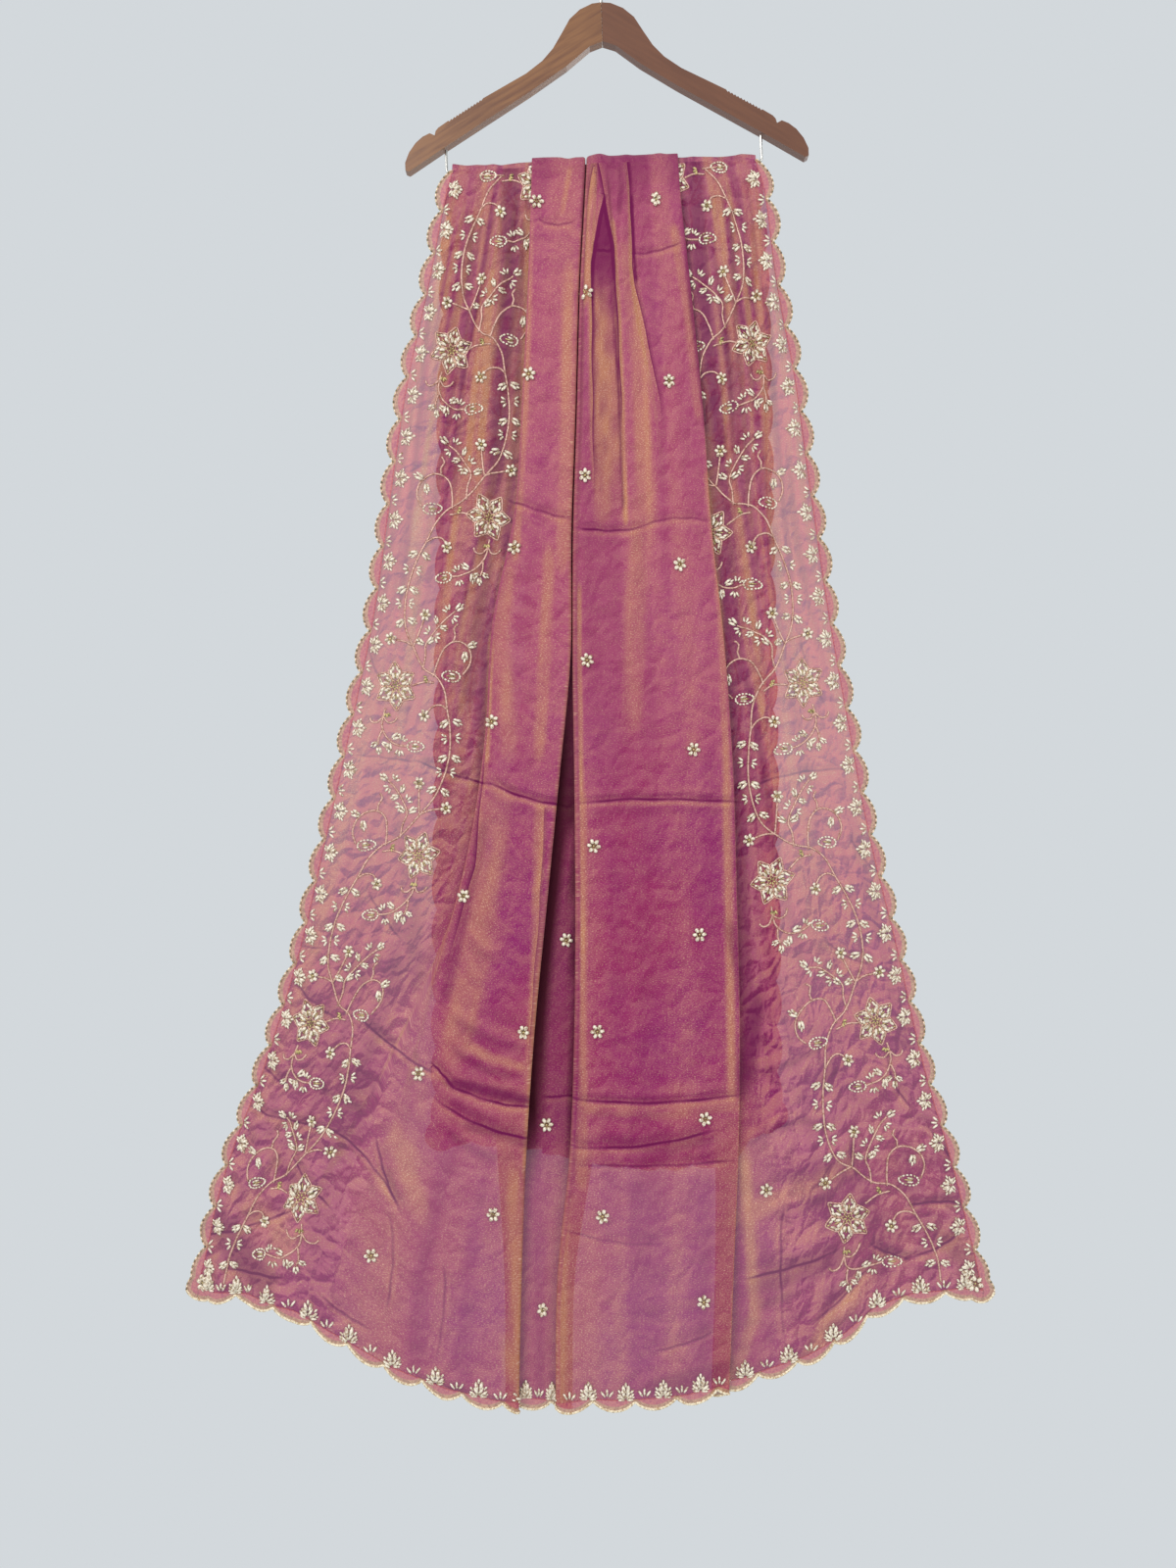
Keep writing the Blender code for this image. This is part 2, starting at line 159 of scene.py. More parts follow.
def valueNoise(x, y, seed):
    # Smooth noise from -1 to 1 on a seeded lattice
    size = 256
    lattice = np.random.default_rng(seed).uniform(-1.0, 1.0, (size, size))
    x0, y0 = np.floor(x).astype(int), np.floor(y).astype(int)
    fx, fy = x - x0, y - y0
    fx, fy = fx * fx * (3 - 2 * fx), fy * fy * (3 - 2 * fy)
    corner = lattice[x0 % size, y0 % size]
    right = lattice[(x0 + 1) % size, y0 % size]
    below = lattice[x0 % size, (y0 + 1) % size]
    across = lattice[(x0 + 1) % size, (y0 + 1) % size]
    return mix(mix(corner, right, fx), mix(below, across, fx), fy)


def barHeight(x):
    return (hanger["woodTop"] - hanger["barDrop"]) / math.cos(hanger["tilt"]) + x * math.tan(hanger["tilt"])


# How a layer turns at a fold: its roundness, and how far an open fold spreads
foldShape = {"roundness": 0.4, "spread": 0.8, "flatSpread": 0.4, "widest": 25.0, "flatHalf": 1.5}


def foldTurn(x, side, layerIn, layerOut, tuck, pitch):
    height = abs(layerOut - layerIn) * pitch
    radius = 0.5 * height * min(1.0, max(0.0, foldShape["roundness"] * tuck / height))
    spread = foldShape["spread"] * min(foldShape["widest"], max(0.0, -tuck))
    points = []
    count = meshDivisions["foldTurn"]
    for step in range(count + 1):
        angle = math.pi * (step / count - 0.5)
        share = 0.5 + 0.5 * math.sin(angle)
        hold = 1.0 - math.cos(angle)
        points.append((x - side * radius * hold + spread * (share - 0.5), mix(layerIn, layerOut, share)))
    return points


def sectionAt(folds, marks, share, pitch):
    # x, layer and flat place across the whole cloth at one share of a fall
    place = smoothTable(folds, foldColumns, share)
    mark = smoothTable(marks, markColumns, share)
    turns = (
        (place["leftFold"] + place["leftTuck"], 1, 2.0, 2.8, place["leftTuck"], "leftBorder", mark["tuck"]),
        (place["leftFold"], -1, 3.2, 4.0, place["leftTuck"], "leftReturn", mark["fold"]),
        (place["gapLeft"], 1, 4.0, 1.0, place["leftHide"], "leftPanel", mark["gapLeft"]),
        (place["gapLeft"] - place["leftHide"], -1, 1.0, 0.0, place["leftHide"], "leftInner",
         mark["gapLeft"] + place["leftHide"]),
        (place["gapRight"] + place["rightHide"], 1, 0.0, 1.0, place["rightHide"], "deepLayer",
         mark["gapRight"] - place["rightHide"]),
        (place["gapRight"], -1, 1.0, 4.0, place["rightHide"], "rightInner", mark["gapRight"]),
        (place["rightFold"], 1, 4.0, 3.0, place["rightTuck"], "rightPanel", mark["rightFold"]),
        (place["rightFold"] - place["rightTuck"], -1, 3.0, 2.0, place["rightTuck"], "rightReturn",
         mark["rightTuck"]),
    )
    inside = cloth["setBack"]
    xs, layers, flats, panels = [place["leftRim"] + inside], [2.0], [inside - halfWidth], [0]
    for number, (x, side, layerIn, layerOut, tuck, run, flat) in enumerate(turns):
        turn = foldTurn(x, side, layerIn, layerOut, tuck, pitch)
        half = foldShape["flatHalf"] + foldShape["flatSpread"] * min(foldShape["widest"], max(0.0, -tuck))
        count = meshDivisions[run]
        startX, startLayer, startFlat = xs[-1], layers[-1], flats[-1]
        for step in range(count):
            along = (step + 1) / (count + 1)
            xs.append(mix(startX, turn[0][0], along))
            layers.append(mix(startLayer, layerIn, along))
            flats.append(mix(startFlat, flat - half, along))
            panels.append(number)
        for step, (turnX, layer) in enumerate(turn):
            xs.append(turnX)
            layers.append(layer)
            flats.append(flat - half + 2.0 * half * step / (len(turn) - 1))
            panels.append(number)
    count = meshDivisions["rightBorder"]
    startX, startFlat = xs[-1], flats[-1]
    for step in range(count):
        along = (step + 1) / (count + 1)
        xs.append(mix(startX, place["rightRim"] - inside, along))
        layers.append(2.0)
        flats.append(mix(startFlat, halfWidth - inside, along))
        panels.append(8)
    xs.append(place["rightRim"] - inside)
    layers.append(2.0)
    flats.append(halfWidth - inside)
    panels.append(8)
    return place, np.array(xs), np.array(layers), np.array(flats), np.array(panels)


def scallopReach(length, pitch):
    share = (length / pitch) % 1.0
    return cloth["cusp"] + (cloth["crown"] - cloth["cusp"]) * np.abs(np.sin(np.pi * share)) ** 0.7


# How far each stretch stands out from the bar's plane, in mm
bulge = {"swell": 7.0, "middle": 0.5, "borderWave": 4.5, "wavesAcross": 2.0, "backWave": 4.0}


def borderWave(across, share, phase):
    window = blend(0.02, 0.2, across) * (1.0 - blend(0.72, 0.95, across))
    height = bulge["borderWave"] * blend(0.0, 0.12, share) * (1.0 - 0.35 * share)
    return height * window * (1.0 - np.cos(2.0 * np.pi * (bulge["wavesAcross"] * across + phase)))


def frontForm(place, x, share):
    # The same swelling as the solid's, by place alone, so that layers stay apart
    swell = bulge["swell"] * blend(0.0, 0.5, share)
    leftAcross = (x - place["leftRim"]) / (place["leftFold"] - place["leftRim"])
    rightAcross = (place["rightRim"] - x) / (place["rightRim"] - place["rightFold"])
    middle = (x - place["leftFold"]) / (place["rightFold"] - place["leftFold"])
    left = swell * leftAcross + borderWave(leftAcross, share, 0.1)
    right = swell * rightAcross + borderWave(rightAcross, share, 0.35)
    centre = swell * (1.0 + bulge["middle"] * np.sin(np.pi * np.clip(middle, 0.0, 1.0)))
    return np.where(x < place["leftFold"], left, np.where(x > place["rightFold"], right, centre))


def backForm(place, x, share):
    across = (x - place["leftRim"]) / (place["rightRim"] - place["leftRim"])
    return bulge["backWave"] * blend(0.0, 0.3, share) * (1.0 - np.cos(4.0 * np.pi * across))


# Creases listed in mm from the wood's middle and below its top: where each starts and ends,
# how far it sags between, how high it stands (below 0 for a trough) and how wide it is
creaseColumns = ("x0", "z0", "x1", "z1", "sag", "height", "width")
frontCreases = (
    (-267, 814, -198, 820, 0, -0.8, 4), (-198, 820, -120, 844, 3, -1.7, 4),
    (-120, 844, -33, 870, 3, -1.9, 4), (-21, 866, 142, 864, -4, -1.9, 3),
    (160, 848, 258, 828, -4, -1.2, 4), (33, 273, 84, 262, 4, -1.1, 3), (-9, 271, 13, 270, 0, -1.1, 3),
    (-70, 236, -29, 239, 4, -0.8, 3), (-98, 540, -35, 560, 3, -1.1, 4), (-28, 571, 47, 568, 5, -1.2, 4),
    (47, 568, 114, 562, -4, -0.9, 4), (-183, 1142, -159, 1169, -2, -1.8, 5),
    (-159, 1169, -77, 1189, 4, -2.2, 5), (-61, 1181, -27, 1180, 1, -1.4, 4),
    (-25, 1181, 148, 1178, 5, -1.8, 4), (-174, 1182, -80, 1222, 8, -1.7, 7),
    (-30, 1231, 120, 1215, 8, -1.5, 7), (-22, 1251, 140, 1246, 4, -1.0, 7),
    (-159, 1122, -84, 1151, 6, 1.6, 6), (-160, 1088, -78, 1121, 5, 1.3, 6),
    (-165, 1208, -100, 1240, 6, 1.2, 6), (-381, 1190, -286, 1215, 5, -2.1, 5),
    (-286, 1215, -220, 1286, -4, -2.0, 5), (-257, 1094, -178, 1155, 5, -1.7, 5),
    (-194, 1130, -220, 1283, 4, 1.6, 7), (-241, 1225, -215, 1299, 3, -1.4, 6),
    (-430, 1333, -331, 1301, 4, -2.1, 9), (-410, 1362, -342, 1373, 3, -1.8, 8),
    (-331, 1246, -289, 1299, 3, -1.8, 6), (-300, 1162, -236, 1193, 4, 1.7, 6),
    (-371, 1140, -331, 1172, 3, -1.4, 6), (-331, 1056, -284, 1098, 3, -1.2, 6),
    (-211, 1479, -169, 1484, 2, -1.8, 4), (-169, 1484, -99, 1508, 3, -2.0, 4),
    (-226, 1305, -228, 1404, 4, -1.0, 5), (-168, 1362, -176, 1457, 4, -0.9, 6),
    (-352, 1010, -300, 1022, 3, -1.1, 6), (-250, 960, -215, 1010, 3, -1.1, 6),
    (-395, 1290, -350, 1240, 3, 1.5, 7), (150, 1231, 212, 1201, -3, 2.2, 5),
    (212, 1201, 240, 1202, 0, 1.4, 5), (150, 1152, 234, 1122, 4, 1.6, 5),
    (184, 1302, 254, 1270, 4, 1.7, 10), (154, 1376, 251, 1344, 5, -2.0, 10),
    (229, 1420, 283, 1367, 4, -1.7, 9), (330, 1299, 399, 1299, -4, -1.8, 5),
    (291, 1339, 330, 1356, 3, -2.0, 5), (330, 1356, 387, 1327, 3, -2.0, 5),
    (196, 1299, 197, 1446, 4, -0.9, 5), (307, 1140, 333, 1193, 4, -1.4, 6),
    (354, 1214, 386, 1256, 3, -1.2, 5), (270, 1225, 275, 1270, 3, -1.1, 5),
    (238, 1010, 290, 1040, 4, -1.1, 6), (268, 905, 300, 940, 3, -1.0, 6),
    (-250, 700, -222, 760, 3, -0.9, 6), (215, 690, 240, 760, 3, -0.9, 6),
    (60, 1450, 118, 1430, 3, -1.2, 9), (-40, 1320, 60, 1335, 5, -0.5, 9),
    (20, 1400, 110, 1385, 4, 0.5, 10), (-260, 1330, -215, 1400, 4, 1.1, 9),
    (-300, 1390, -250, 1425, 3, -1.2, 8), (250, 1455, 290, 1420, 3, 1.2, 8),
    (-140, 1005, -110, 1030, 2, 0.9, 6),
)

# Bands of painted gold sheen and of painted shade along the folds: three points down each, half width and
# strength
bandColumns = ("x0", "z0", "x1", "z1", "x2", "z2", "width", "strength")
paintedSheenBands = (
    (-126, 200, -132, 340, -143, 500, 4, 0.50), (-172, 260, -182, 420, -200, 620, 4, 0.45),
    (-122, 540, -134, 640, -150, 760, 4, 0.45), (128, 200, 136, 340, 148, 500, 4, 0.50),
    (166, 250, 176, 420, 194, 620, 4, 0.45), (150, 540, 160, 640, 172, 760, 4, 0.40),
    (-78, 245, -82, 440, -92, 592, 5, 0.55), (-35, 188, -38, 205, -41, 222, 3, 0.35),
    (-36, 300, -37, 450, -42, 600, 7, 0.42), (-56, 610, -60, 700, -66, 800, 7, 0.40),
    (-7, 175, -14, 230, -17, 320, 4, 0.6), (-4, 330, 0, 430, 0, 545, 10, 0.4),
    (13, 246, 20, 395, 26, 560, 3, 0.75), (29, 286, 42, 400, 46, 540, 9, 0.55),
    (46, 540, 36, 650, 33, 760, 12, 0.35), (80, 255, 92, 330, 103, 440, 5, 0.45),
    (114, 520, 128, 660, 134, 850, 4, 0.5), (134, 850, 137, 1000, 139, 1170, 5, 0.55),
    (-24, 640, -23, 760, -22, 860, 3, 0.65), (-22, 865, -22, 1050, -21, 1260, 6, 0.6),
    (-118, 690, -121, 760, -122, 815, 3, 0.8), (-104, 620, -106, 700, -100, 790, 10, 0.4),
    (-113, 884, -130, 1000, -150, 1100, 16, 0.40), (-66, 880, -70, 1050, -78, 1250, 6, 0.45),
    (-94, 1268, -90, 1400, -84, 1510, 7, 0.55), (-42, 1195, -44, 1370, -46, 1515, 8, 0.5),
    (-86, 1470, -76, 1490, -70, 1510, 14, 0.55), (154, 1256, 165, 1410, 143, 1482, 7, 0.5),
    (-165, 240, -168, 330, -176, 430, 3, 0.4), (-120, 300, -124, 420, -133, 560, 4, 0.45),
    (-150, 420, -158, 560, -170, 700, 4, 0.4), (122, 220, 126, 330, 134, 450, 3, 0.4),
    (142, 300, 150, 430, 160, 560, 4, 0.4), (180, 560, 190, 700, 205, 850, 5, 0.3),
    (-198, 560, -205, 700, -222, 850, 5, 0.35), (-375, 1300, -345, 1330, -320, 1350, 12, 0.3),
    (170, 1300, 210, 1280, 250, 1262, 11, 0.4), (215, 1470, 250, 1420, 280, 1380, 11, 0.4),
    (385, 1350, 400, 1370, 405, 1390, 12, 0.3), (-245, 1200, -215, 1230, -195, 1290, 11, 0.3),
    (-150, 1120, -120, 1136, -88, 1146, 5, 0.35), (-20, 1192, 60, 1198, 140, 1190, 5, 0.3),
)
paintedShadeBands = (
    (-97, 190, -100, 330, -112, 500, 11, 0.70), (101, 180, 108, 300, 124, 470, 10, 0.70),
    (-112, 500, -128, 640, -140, 740, 9, 0.50), (126, 480, 138, 600, 146, 720, 8, 0.55),
    (-140, 250, -147, 380, -158, 520, 4, 0.50), (-185, 330, -196, 470, -214, 640, 4, 0.45),
    (138, 240, 146, 370, 158, 520, 4, 0.50), (178, 320, 188, 460, 204, 620, 4, 0.40),
    (-86, 250, -92, 440, -103, 592, 5, 0.5), (90, 220, 98, 330, 114, 460, 5, 0.7),
    (118, 480, 134, 640, 146, 830, 6, 0.6), (148, 850, 152, 980, 156, 1080, 8, 0.6),
    (33, 215, 35, 270, 38, 300, 2, 0.7), (10, 300, 18, 420, 23, 545, 2, 0.7),
    (-16, 175, -18, 200, -20, 240, 3, 0.6), (20, 180, 22, 200, 20, 222, 4, 0.6),
    (-20, 250, -24, 420, -27, 560, 2, 0.7), (-27, 560, -29, 700, -30, 800, 2, 0.7),
    (-410, 1320, -390, 1345, -378, 1360, 18, 0.6), (72, 1486, 92, 1482, 114, 1475, 12, 0.5),
    (163, 1098, 160, 1120, 156, 1148, 12, 0.8), (190, 1375, 215, 1366, 240, 1357, 14, 0.5),
    (-150, 1166, -120, 1172, -88, 1180, 7, 0.8), (-130, 1212, -105, 1218, -84, 1226, 7, 0.6),
    (20, 1226, 60, 1232, 100, 1226, 9, 0.5), (-128, 900, -146, 980, -164, 1060, 7, 0.4),
    (-126, 720, -128, 790, -130, 840, 5, 0.5), (-80, 1262, -78, 1330, -74, 1400, 4, 0.4),
    (-215, 900, -205, 960, -200, 1040, 10, 0.3), (360, 1330, 380, 1345, 395, 1360, 12, 0.4),
    (-330, 1270, -310, 1290, -295, 1320, 12, 0.4), (140, 1010, 148, 1040, 152, 1070, 8, 0.5),
)


backCreases = (
    (-172, 262, -86, 268, 3, -1.1, 3), (-70, 266, 20, 258, -3, -1.2, 3), (34, 262, 150, 254, 4, -1.1, 3),
    (-168, 548, -60, 560, 4, -1.2, 4), (-48, 562, 60, 556, -4, -1.2, 4), (70, 552, 176, 544, 3, -1.1, 4),
    (-170, 828, -64, 852, 5, -1.7, 4), (-56, 860, 60, 866, -4, -1.9, 4), (70, 862, 184, 834, 4, -1.6, 4),
    (-160, 1130, -60, 1150, 5, -1.6, 5), (-40, 1152, 70, 1148, 4, -1.6, 5),
    (84, 1142, 180, 1120, -5, -1.5, 5), (-150, 700, -110, 760, 4, 1.2, 7),
    (100, 690, 150, 740, 4, 1.1, 7), (-30, 960, 40, 985, 5, 1.2, 8), (-150, 1010, -90, 1060, 4, -1.1, 6),
    (90, 980, 160, 1010, 5, -1.1, 6), (-20, 400, 50, 420, 4, 1.0, 8),
)


def nearLine(x, z, x0, z0, x1, z1):
    # Distance off a line, signed downwards, and the share along it
    dx, dz = x1 - x0, z1 - z0
    length = math.hypot(dx, dz)
    along = ((x - x0) * dx + (z - z0) * dz) / length**2
    off = ((z - z0) * dx - (x - x0) * dz) / length
    if dx < 0:
        off = -off
    return off, along


# How a crease wanders off its line, how deep its shoulders are, and how far off its painted shade line and
# highlight are still drawn
creaseShape = {"wander": 0.7, "tremble": 0.4, "shoulder": 0.42, "drawnWithin": 4.0, "goneAt": 10.0}


def alongCrease(x, z, crease):
    # Distance off a crease that bows and wanders a little, and how far it has faded in
    off, along = nearLine(x, z, crease["x0"], crease["z0"], crease["x1"], crease["z1"])
    bow = 4.0 * along * (1.0 - along)
    wander = creaseShape["wander"] * np.sin(5.0 * along + crease["x0"])
    wander += creaseShape["tremble"] * np.sin(19.0 * along + crease["z0"])
    fade = blend(-0.12, 0.16, along) * (1.0 - blend(0.84, 1.12, along))
    return off - crease["sag"] * bow - wander, fade


def creaseRelief(x, z, creases):
    relief = np.zeros_like(x)
    for row in creases:
        crease = dict(zip(creaseColumns, row))
        off, fade = alongCrease(x, z, crease)
        width = crease["width"] * (0.55 + 0.45 * fade)
        shoulder = np.exp(-(((np.abs(off) - 2.0 * width) / (1.3 * width)) ** 2))
        trough = np.exp(-((off / width) ** 2)) - creaseShape["shoulder"] * shoulder
        relief += crease["height"] * fade * trough
    return relief


def sharpCreases(x, z, creases, first):
    # For every other crease: signed distance to the nearest, and how strongly its painted shade line and
    # highlight show
    nearest, shows = np.full_like(x, 12.0), np.zeros_like(x)
    for row in creases[first::2]:
        crease = dict(zip(creaseColumns, row))
        if crease["height"] < 0:
            off, fade = alongCrease(x, z, crease)
            broken = 0.78 + 0.22 * np.sin(x / 9.0 + crease["z0"]) * np.sin(x / 23.0 + z / 31.0)
            near = 1.0 - blend(creaseShape["drawnWithin"], creaseShape["goneAt"], np.abs(off))
            strength = fade * near * broken * min(1.0, 0.25 - 0.42 * crease["height"])
            nearer = strength > shows
            nearest, shows = np.where(nearer, off, nearest), np.where(nearer, strength, shows)
    return nearest, shows


# Edges of the pleats below the bar, drawn down the cloth as a painted shade line with a painted highlight on
# its lit side: strength, lit side, then x and z of each point
pleatLines = (
    (0.8, 1, ((-7.6, 173), (-11.4, 192), (-14.2, 215), (-17.1, 244), (-19, 275), (-20, 330))),
    (1.0, -1, ((3.9, 209), (-2.7, 235), (-8.2, 262), (-11.1, 284), (-10.5, 310), (-10, 380), (-9, 470),
               (-8, 560))),
    (1.0, 1, ((-4.7, 170), (3.9, 210), (8.1, 235), (13.3, 264), (15.4, 292), (17.4, 335), (19.6, 379),
              (21.9, 436), (25, 500))),
    (1.0, -1, ((26.9, 172), (30.6, 203), (32.3, 244), (33.4, 287), (36.9, 310), (45.6, 350), (55.6, 396),
               (62.8, 436), (68, 480))),
    (0.9, 1, ((-104, 600), (-108, 625), (-118, 677), (-121, 762), (-125, 820), (-135, 934), (-155, 1002),
              (-167, 1048), (-172, 1080))),
    (0.6, 1, ((-28, 640), (-26, 760), (-25, 860), (-25, 1000), (-24, 1180))),
    (0.6, -1, ((-60, 870), (-66, 980), (-74, 1080), (-80, 1180))),
    (0.6, -1, ((150, 1250), (163, 1330), (160, 1420), (146, 1480))),
)


def sharpPleats(x, z, lines, first):
    # For every other pleat edge: distance to the lit side of the nearest, and how strongly its painted shade
    # line and highlight show
    nearest, shows = np.full_like(x, -12.0), np.zeros_like(x)
    for strength, lit, points in lines[first::2]:
        table = np.array(points, dtype=float)
        off = lit * (x - np.interp(z, table[:, 1], table[:, 0]) - 0.5 * np.sin(z / 13.0))
        top, foot = table[0, 1], table[-1, 1]
        fade = blend(top - 3.0, top + 3.0, z) * (1.0 - blend(foot - 0.3 * (foot - top), foot, z))
        near = strength * fade * (1.0 - blend(4.0, 9.0, np.abs(off)))
        nearest, shows = np.where(near > shows, off, nearest), np.maximum(near, shows)
    return nearest, shows


def bandStrength(x, z, bands):
    total = np.zeros_like(x)
    for row in bands:
        band = dict(zip(bandColumns, row))
        nearest = np.full_like(x, 1e6)
        for first, last in (("0", "1"), ("1", "2")):
            x0, z0, x1, z1 = band["x" + first], band["z" + first], band["x" + last], band["z" + last]
            off, along = nearLine(x, z, x0, z0, x1, z1)
            past = np.maximum(0.0, np.maximum(-along, along - 1.0)) * math.hypot(x1 - x0, z1 - z0)
            nearest = np.minimum(nearest, np.hypot(off, 0.35 * past))
        total = np.maximum(total, band["strength"] * np.exp(-((nearest / band["width"]) ** 4)))
    return total


# Depths in mm and pitches of what is too small to be a crease of its own
fineRelief = {
    "gather": 1.6, "gatherPitch": 19.0, "fineGather": 0.8, "ripple": 1.2, "pucker": 1.5, "panelPucker": 0.35,
    "pleat": 2.2, "deepest": -0.9, "highest": 4.5, "back": 0.6, "backDeepest": -2.0, "backHighest": 2.6,
}


def frontRelief(x, z, flat, share, place, panels):
    # Finer relief, in mm outwards: gathers below the bar, soft waves, creases and puckers
    leftShow = np.where(panels == 0, blend(2.0, 12.0, place["leftFold"] - x), 0.0)
    rightShow = np.where(panels == 8, blend(2.0, 12.0, x - place["rightFold"]), 0.0)
    border = leftShow + rightShow
    middle = np.isin(panels, (2, 6))
    slip = 26.0 * valueNoise(flat / 90.0, share * 3.0, 11)
    gather = fineRelief["gather"] * blend(0.0, 0.05, share) * (1.0 - blend(0.15, 0.62, share))
    total = border * gather * (1.0 + np.sin(2 * np.pi * (flat + slip) / fineRelief["gatherPitch"]))
    fine = valueNoise(flat / 11.0, share * 9.0, 12)
    total += border * fineRelief["fineGather"] * (1.0 - blend(0.3, 0.8, share)) * (1.0 + fine)
    ripple = 1.0 + valueNoise(x / 34.0 + 40, share * 4.0, 5)
    total += fineRelief["ripple"] * blend(0.05, 0.4, share) * ripple * (border + middle)
    shown = np.where(panels == 4, 0.7, border + middle)
    total += shown * creaseRelief(x, z, frontCreases)
    down = share * cloth["frontLength"]
    crumple = 0.25 * blend(0.0, 0.3, share) + blend(0.58, 0.9, share) * blend(150.0, 330.0, np.abs(flat))
    pucker = valueNoise(flat / 34.0 + 9, down / 26.0, 21)
    pucker = pucker + 0.55 * valueNoise(flat / 15.0, down / 13.0 + 5, 22)
    total += border * fineRelief["pucker"] * crumple * pucker
    fine = valueNoise(flat / 26.0, down / 20.0, 23) * blend(0.2, 0.5, share)
    total += middle * fineRelief["panelPucker"] * fine
    weight = np.where(panels == 6, 1.0 - blend(0.14, 0.32, share), 0.0)
    between = blend(0.0, 2.0, x - place["stripB"]) * blend(0.0, 2.0, place["stripC"] - x)
    total += fineRelief["pleat"] * weight * (blend(0.0, 2.0, place["stripA"] - x) + between)
    return total * blend(0.0, 0.02, share)


def backRelief(x, z, flat, share, layer):
    total = valueNoise(flat / 14.0, share * 4.0, 31) + 0.8 * valueNoise(flat / 40.0, share * 20.0, 32)
    return total + np.where(layer > 1.5, 1.0, 0.4) * creaseRelief(x, z, backCreases)


# The opening between the upper pleats, darkened with painted shade, as x and mm below the wood's top along
# each edge
opening = {
    "left": ((3.9, 209), (-2.7, 235), (-8.2, 262), (-11.1, 284), (-10.5, 310), (-8.0, 560)),
    "right": ((4.0, 209), (8.1, 235), (13.3, 264), (15.4, 292), (17.4, 335), (21.9, 436), (26.0, 560)),
}


def openingEdge(name, dropped):
    edge = np.array(opening[name], dtype=float)
    return np.interp(dropped, edge[:, 1], edge[:, 0])


def foldTones(place, x, dropped, panels):
    # Masks for painted shade and sheen: where cloth lies in the opening, beside the gap between the panels,
    # and over a hidden return
    between = blend(-0.5, 1.0, x - openingEdge("left", dropped))
    between = between * blend(-0.5, 1.0, openingEdge("right", dropped) - x)
    level = blend(205.0, 215.0, dropped) * (1.0 - blend(480.0, 600.0, dropped))
    beside = 1.0 - blend(5.0, 20.0, x - place["gapLeft"])
    besideRight = 0.7 * (1.0 - blend(0.0, 5.0, place["gapRight"] - x))
    leftEdge = blend(-1.0, 1.0, x - place["gapLeft"] + place["leftHide"]) * (panels == 2)
    rightEdge = blend(-1.0, 1.0, place["gapRight"] + place["rightHide"] - x) * (panels == 6)
    foldEdge = blend(-1.0, 1.0, x - place["rightFold"] + place["rightTuck"]) * (panels == 6)
    return {
        "recess": between * (panels == 6) * level,
        "edgeShadow": np.maximum(beside, besideRight),
        "doubled": leftEdge + rightEdge + foldEdge,
    }


def foldGrid(folds, marks, hem, rows, side, form, fallLength):
    # Every point of one fall, with its place on the flat cloth
    _, topX, _, _, _ = sectionAt(folds, marks, 0.0, cloth["barPitch"])
    _, hemX, _, _, _ = sectionAt(folds, marks, 1.0, cloth["hungPitch"])
    hemTable = np.array(hem, dtype=float)
    start = barHeight(topX)
    end = hanger["woodTop"] - np.interp(hemX, hemTable[:, 0], hemTable[:, 1])
    end += cloth["solidScallop"] + cloth["setBack"]
    grid = {}
    for share in np.linspace(0.0, 1.0, rows):
        pitch = mix(cloth["barPitch"], cloth["hungPitch"], blend(0.0, 0.3, share))
        place, x, layer, flat, panels = sectionAt(folds, marks, share, pitch)
        z = mix(start, end, share)
        dropped, level = hanger["woodTop"] - z, np.full_like(x, share)
        out = hanger["barRadius"] + cloth["barGap"] + cloth["solidWall"] / 2
        out = out + layer * pitch + form(place, x, share)
        if side < 0:
            fine = frontRelief(x, dropped, flat, level, place, panels)
            out = out + np.clip(fine, fineRelief["deepest"], fineRelief["highest"])
        else:
            fine = backRelief(x, dropped, flat, level, layer)
            rise = 2.2 + np.clip(fine, fineRelief["backDeepest"], fineRelief["backHighest"])
            out = out + fineRelief["back"] * blend(0.0, 0.15, share) * rise
        row = {"x": x, "out": out, "z": z, "flat": flat, "panel": panels, "layer": layer, "relief": fine}
        row.update(foldTones(place, x, dropped, panels), down=level * fallLength)
        for name, values in row.items():
            grid.setdefault(name, []).append(values)
    arrays = {name: np.array(values) for name, values in grid.items()}
    shift = -hanger["woodTop"] * math.sin(hanger["tilt"])
    arrays["points"] = np.stack([arrays["x"] + shift, side * arrays["out"], arrays["z"]], axis=-1) * mm
    arrays["side"], arrays["fall"] = side, fallLength
    arrays["share"] = arrays["down"] / fallLength
    return addNormals(arrays)


def addNormals(grid):
    downward = np.gradient(grid["points"], axis=0)
    across = np.gradient(grid["points"], axis=1)
    normals = np.cross(across, downward) * grid["side"]
    grid["normals"] = normals / np.maximum(np.linalg.norm(normals, axis=-1, keepdims=True), 1e-12)
    return grid


# Where the cloth bunches up on the bar: x, how high and how wide, in mm
barBunches = ((-3.0, 2.2, 9.0), (-158.0, 1.6, 8.0), (150.0, 1.2, 10.0))
overBar = {"rise": 1.2, "ripple": 1.1, "ripplePitch": 9.0, "wave": 0.9, "wavePitch": 27.0, "length": 25.0}


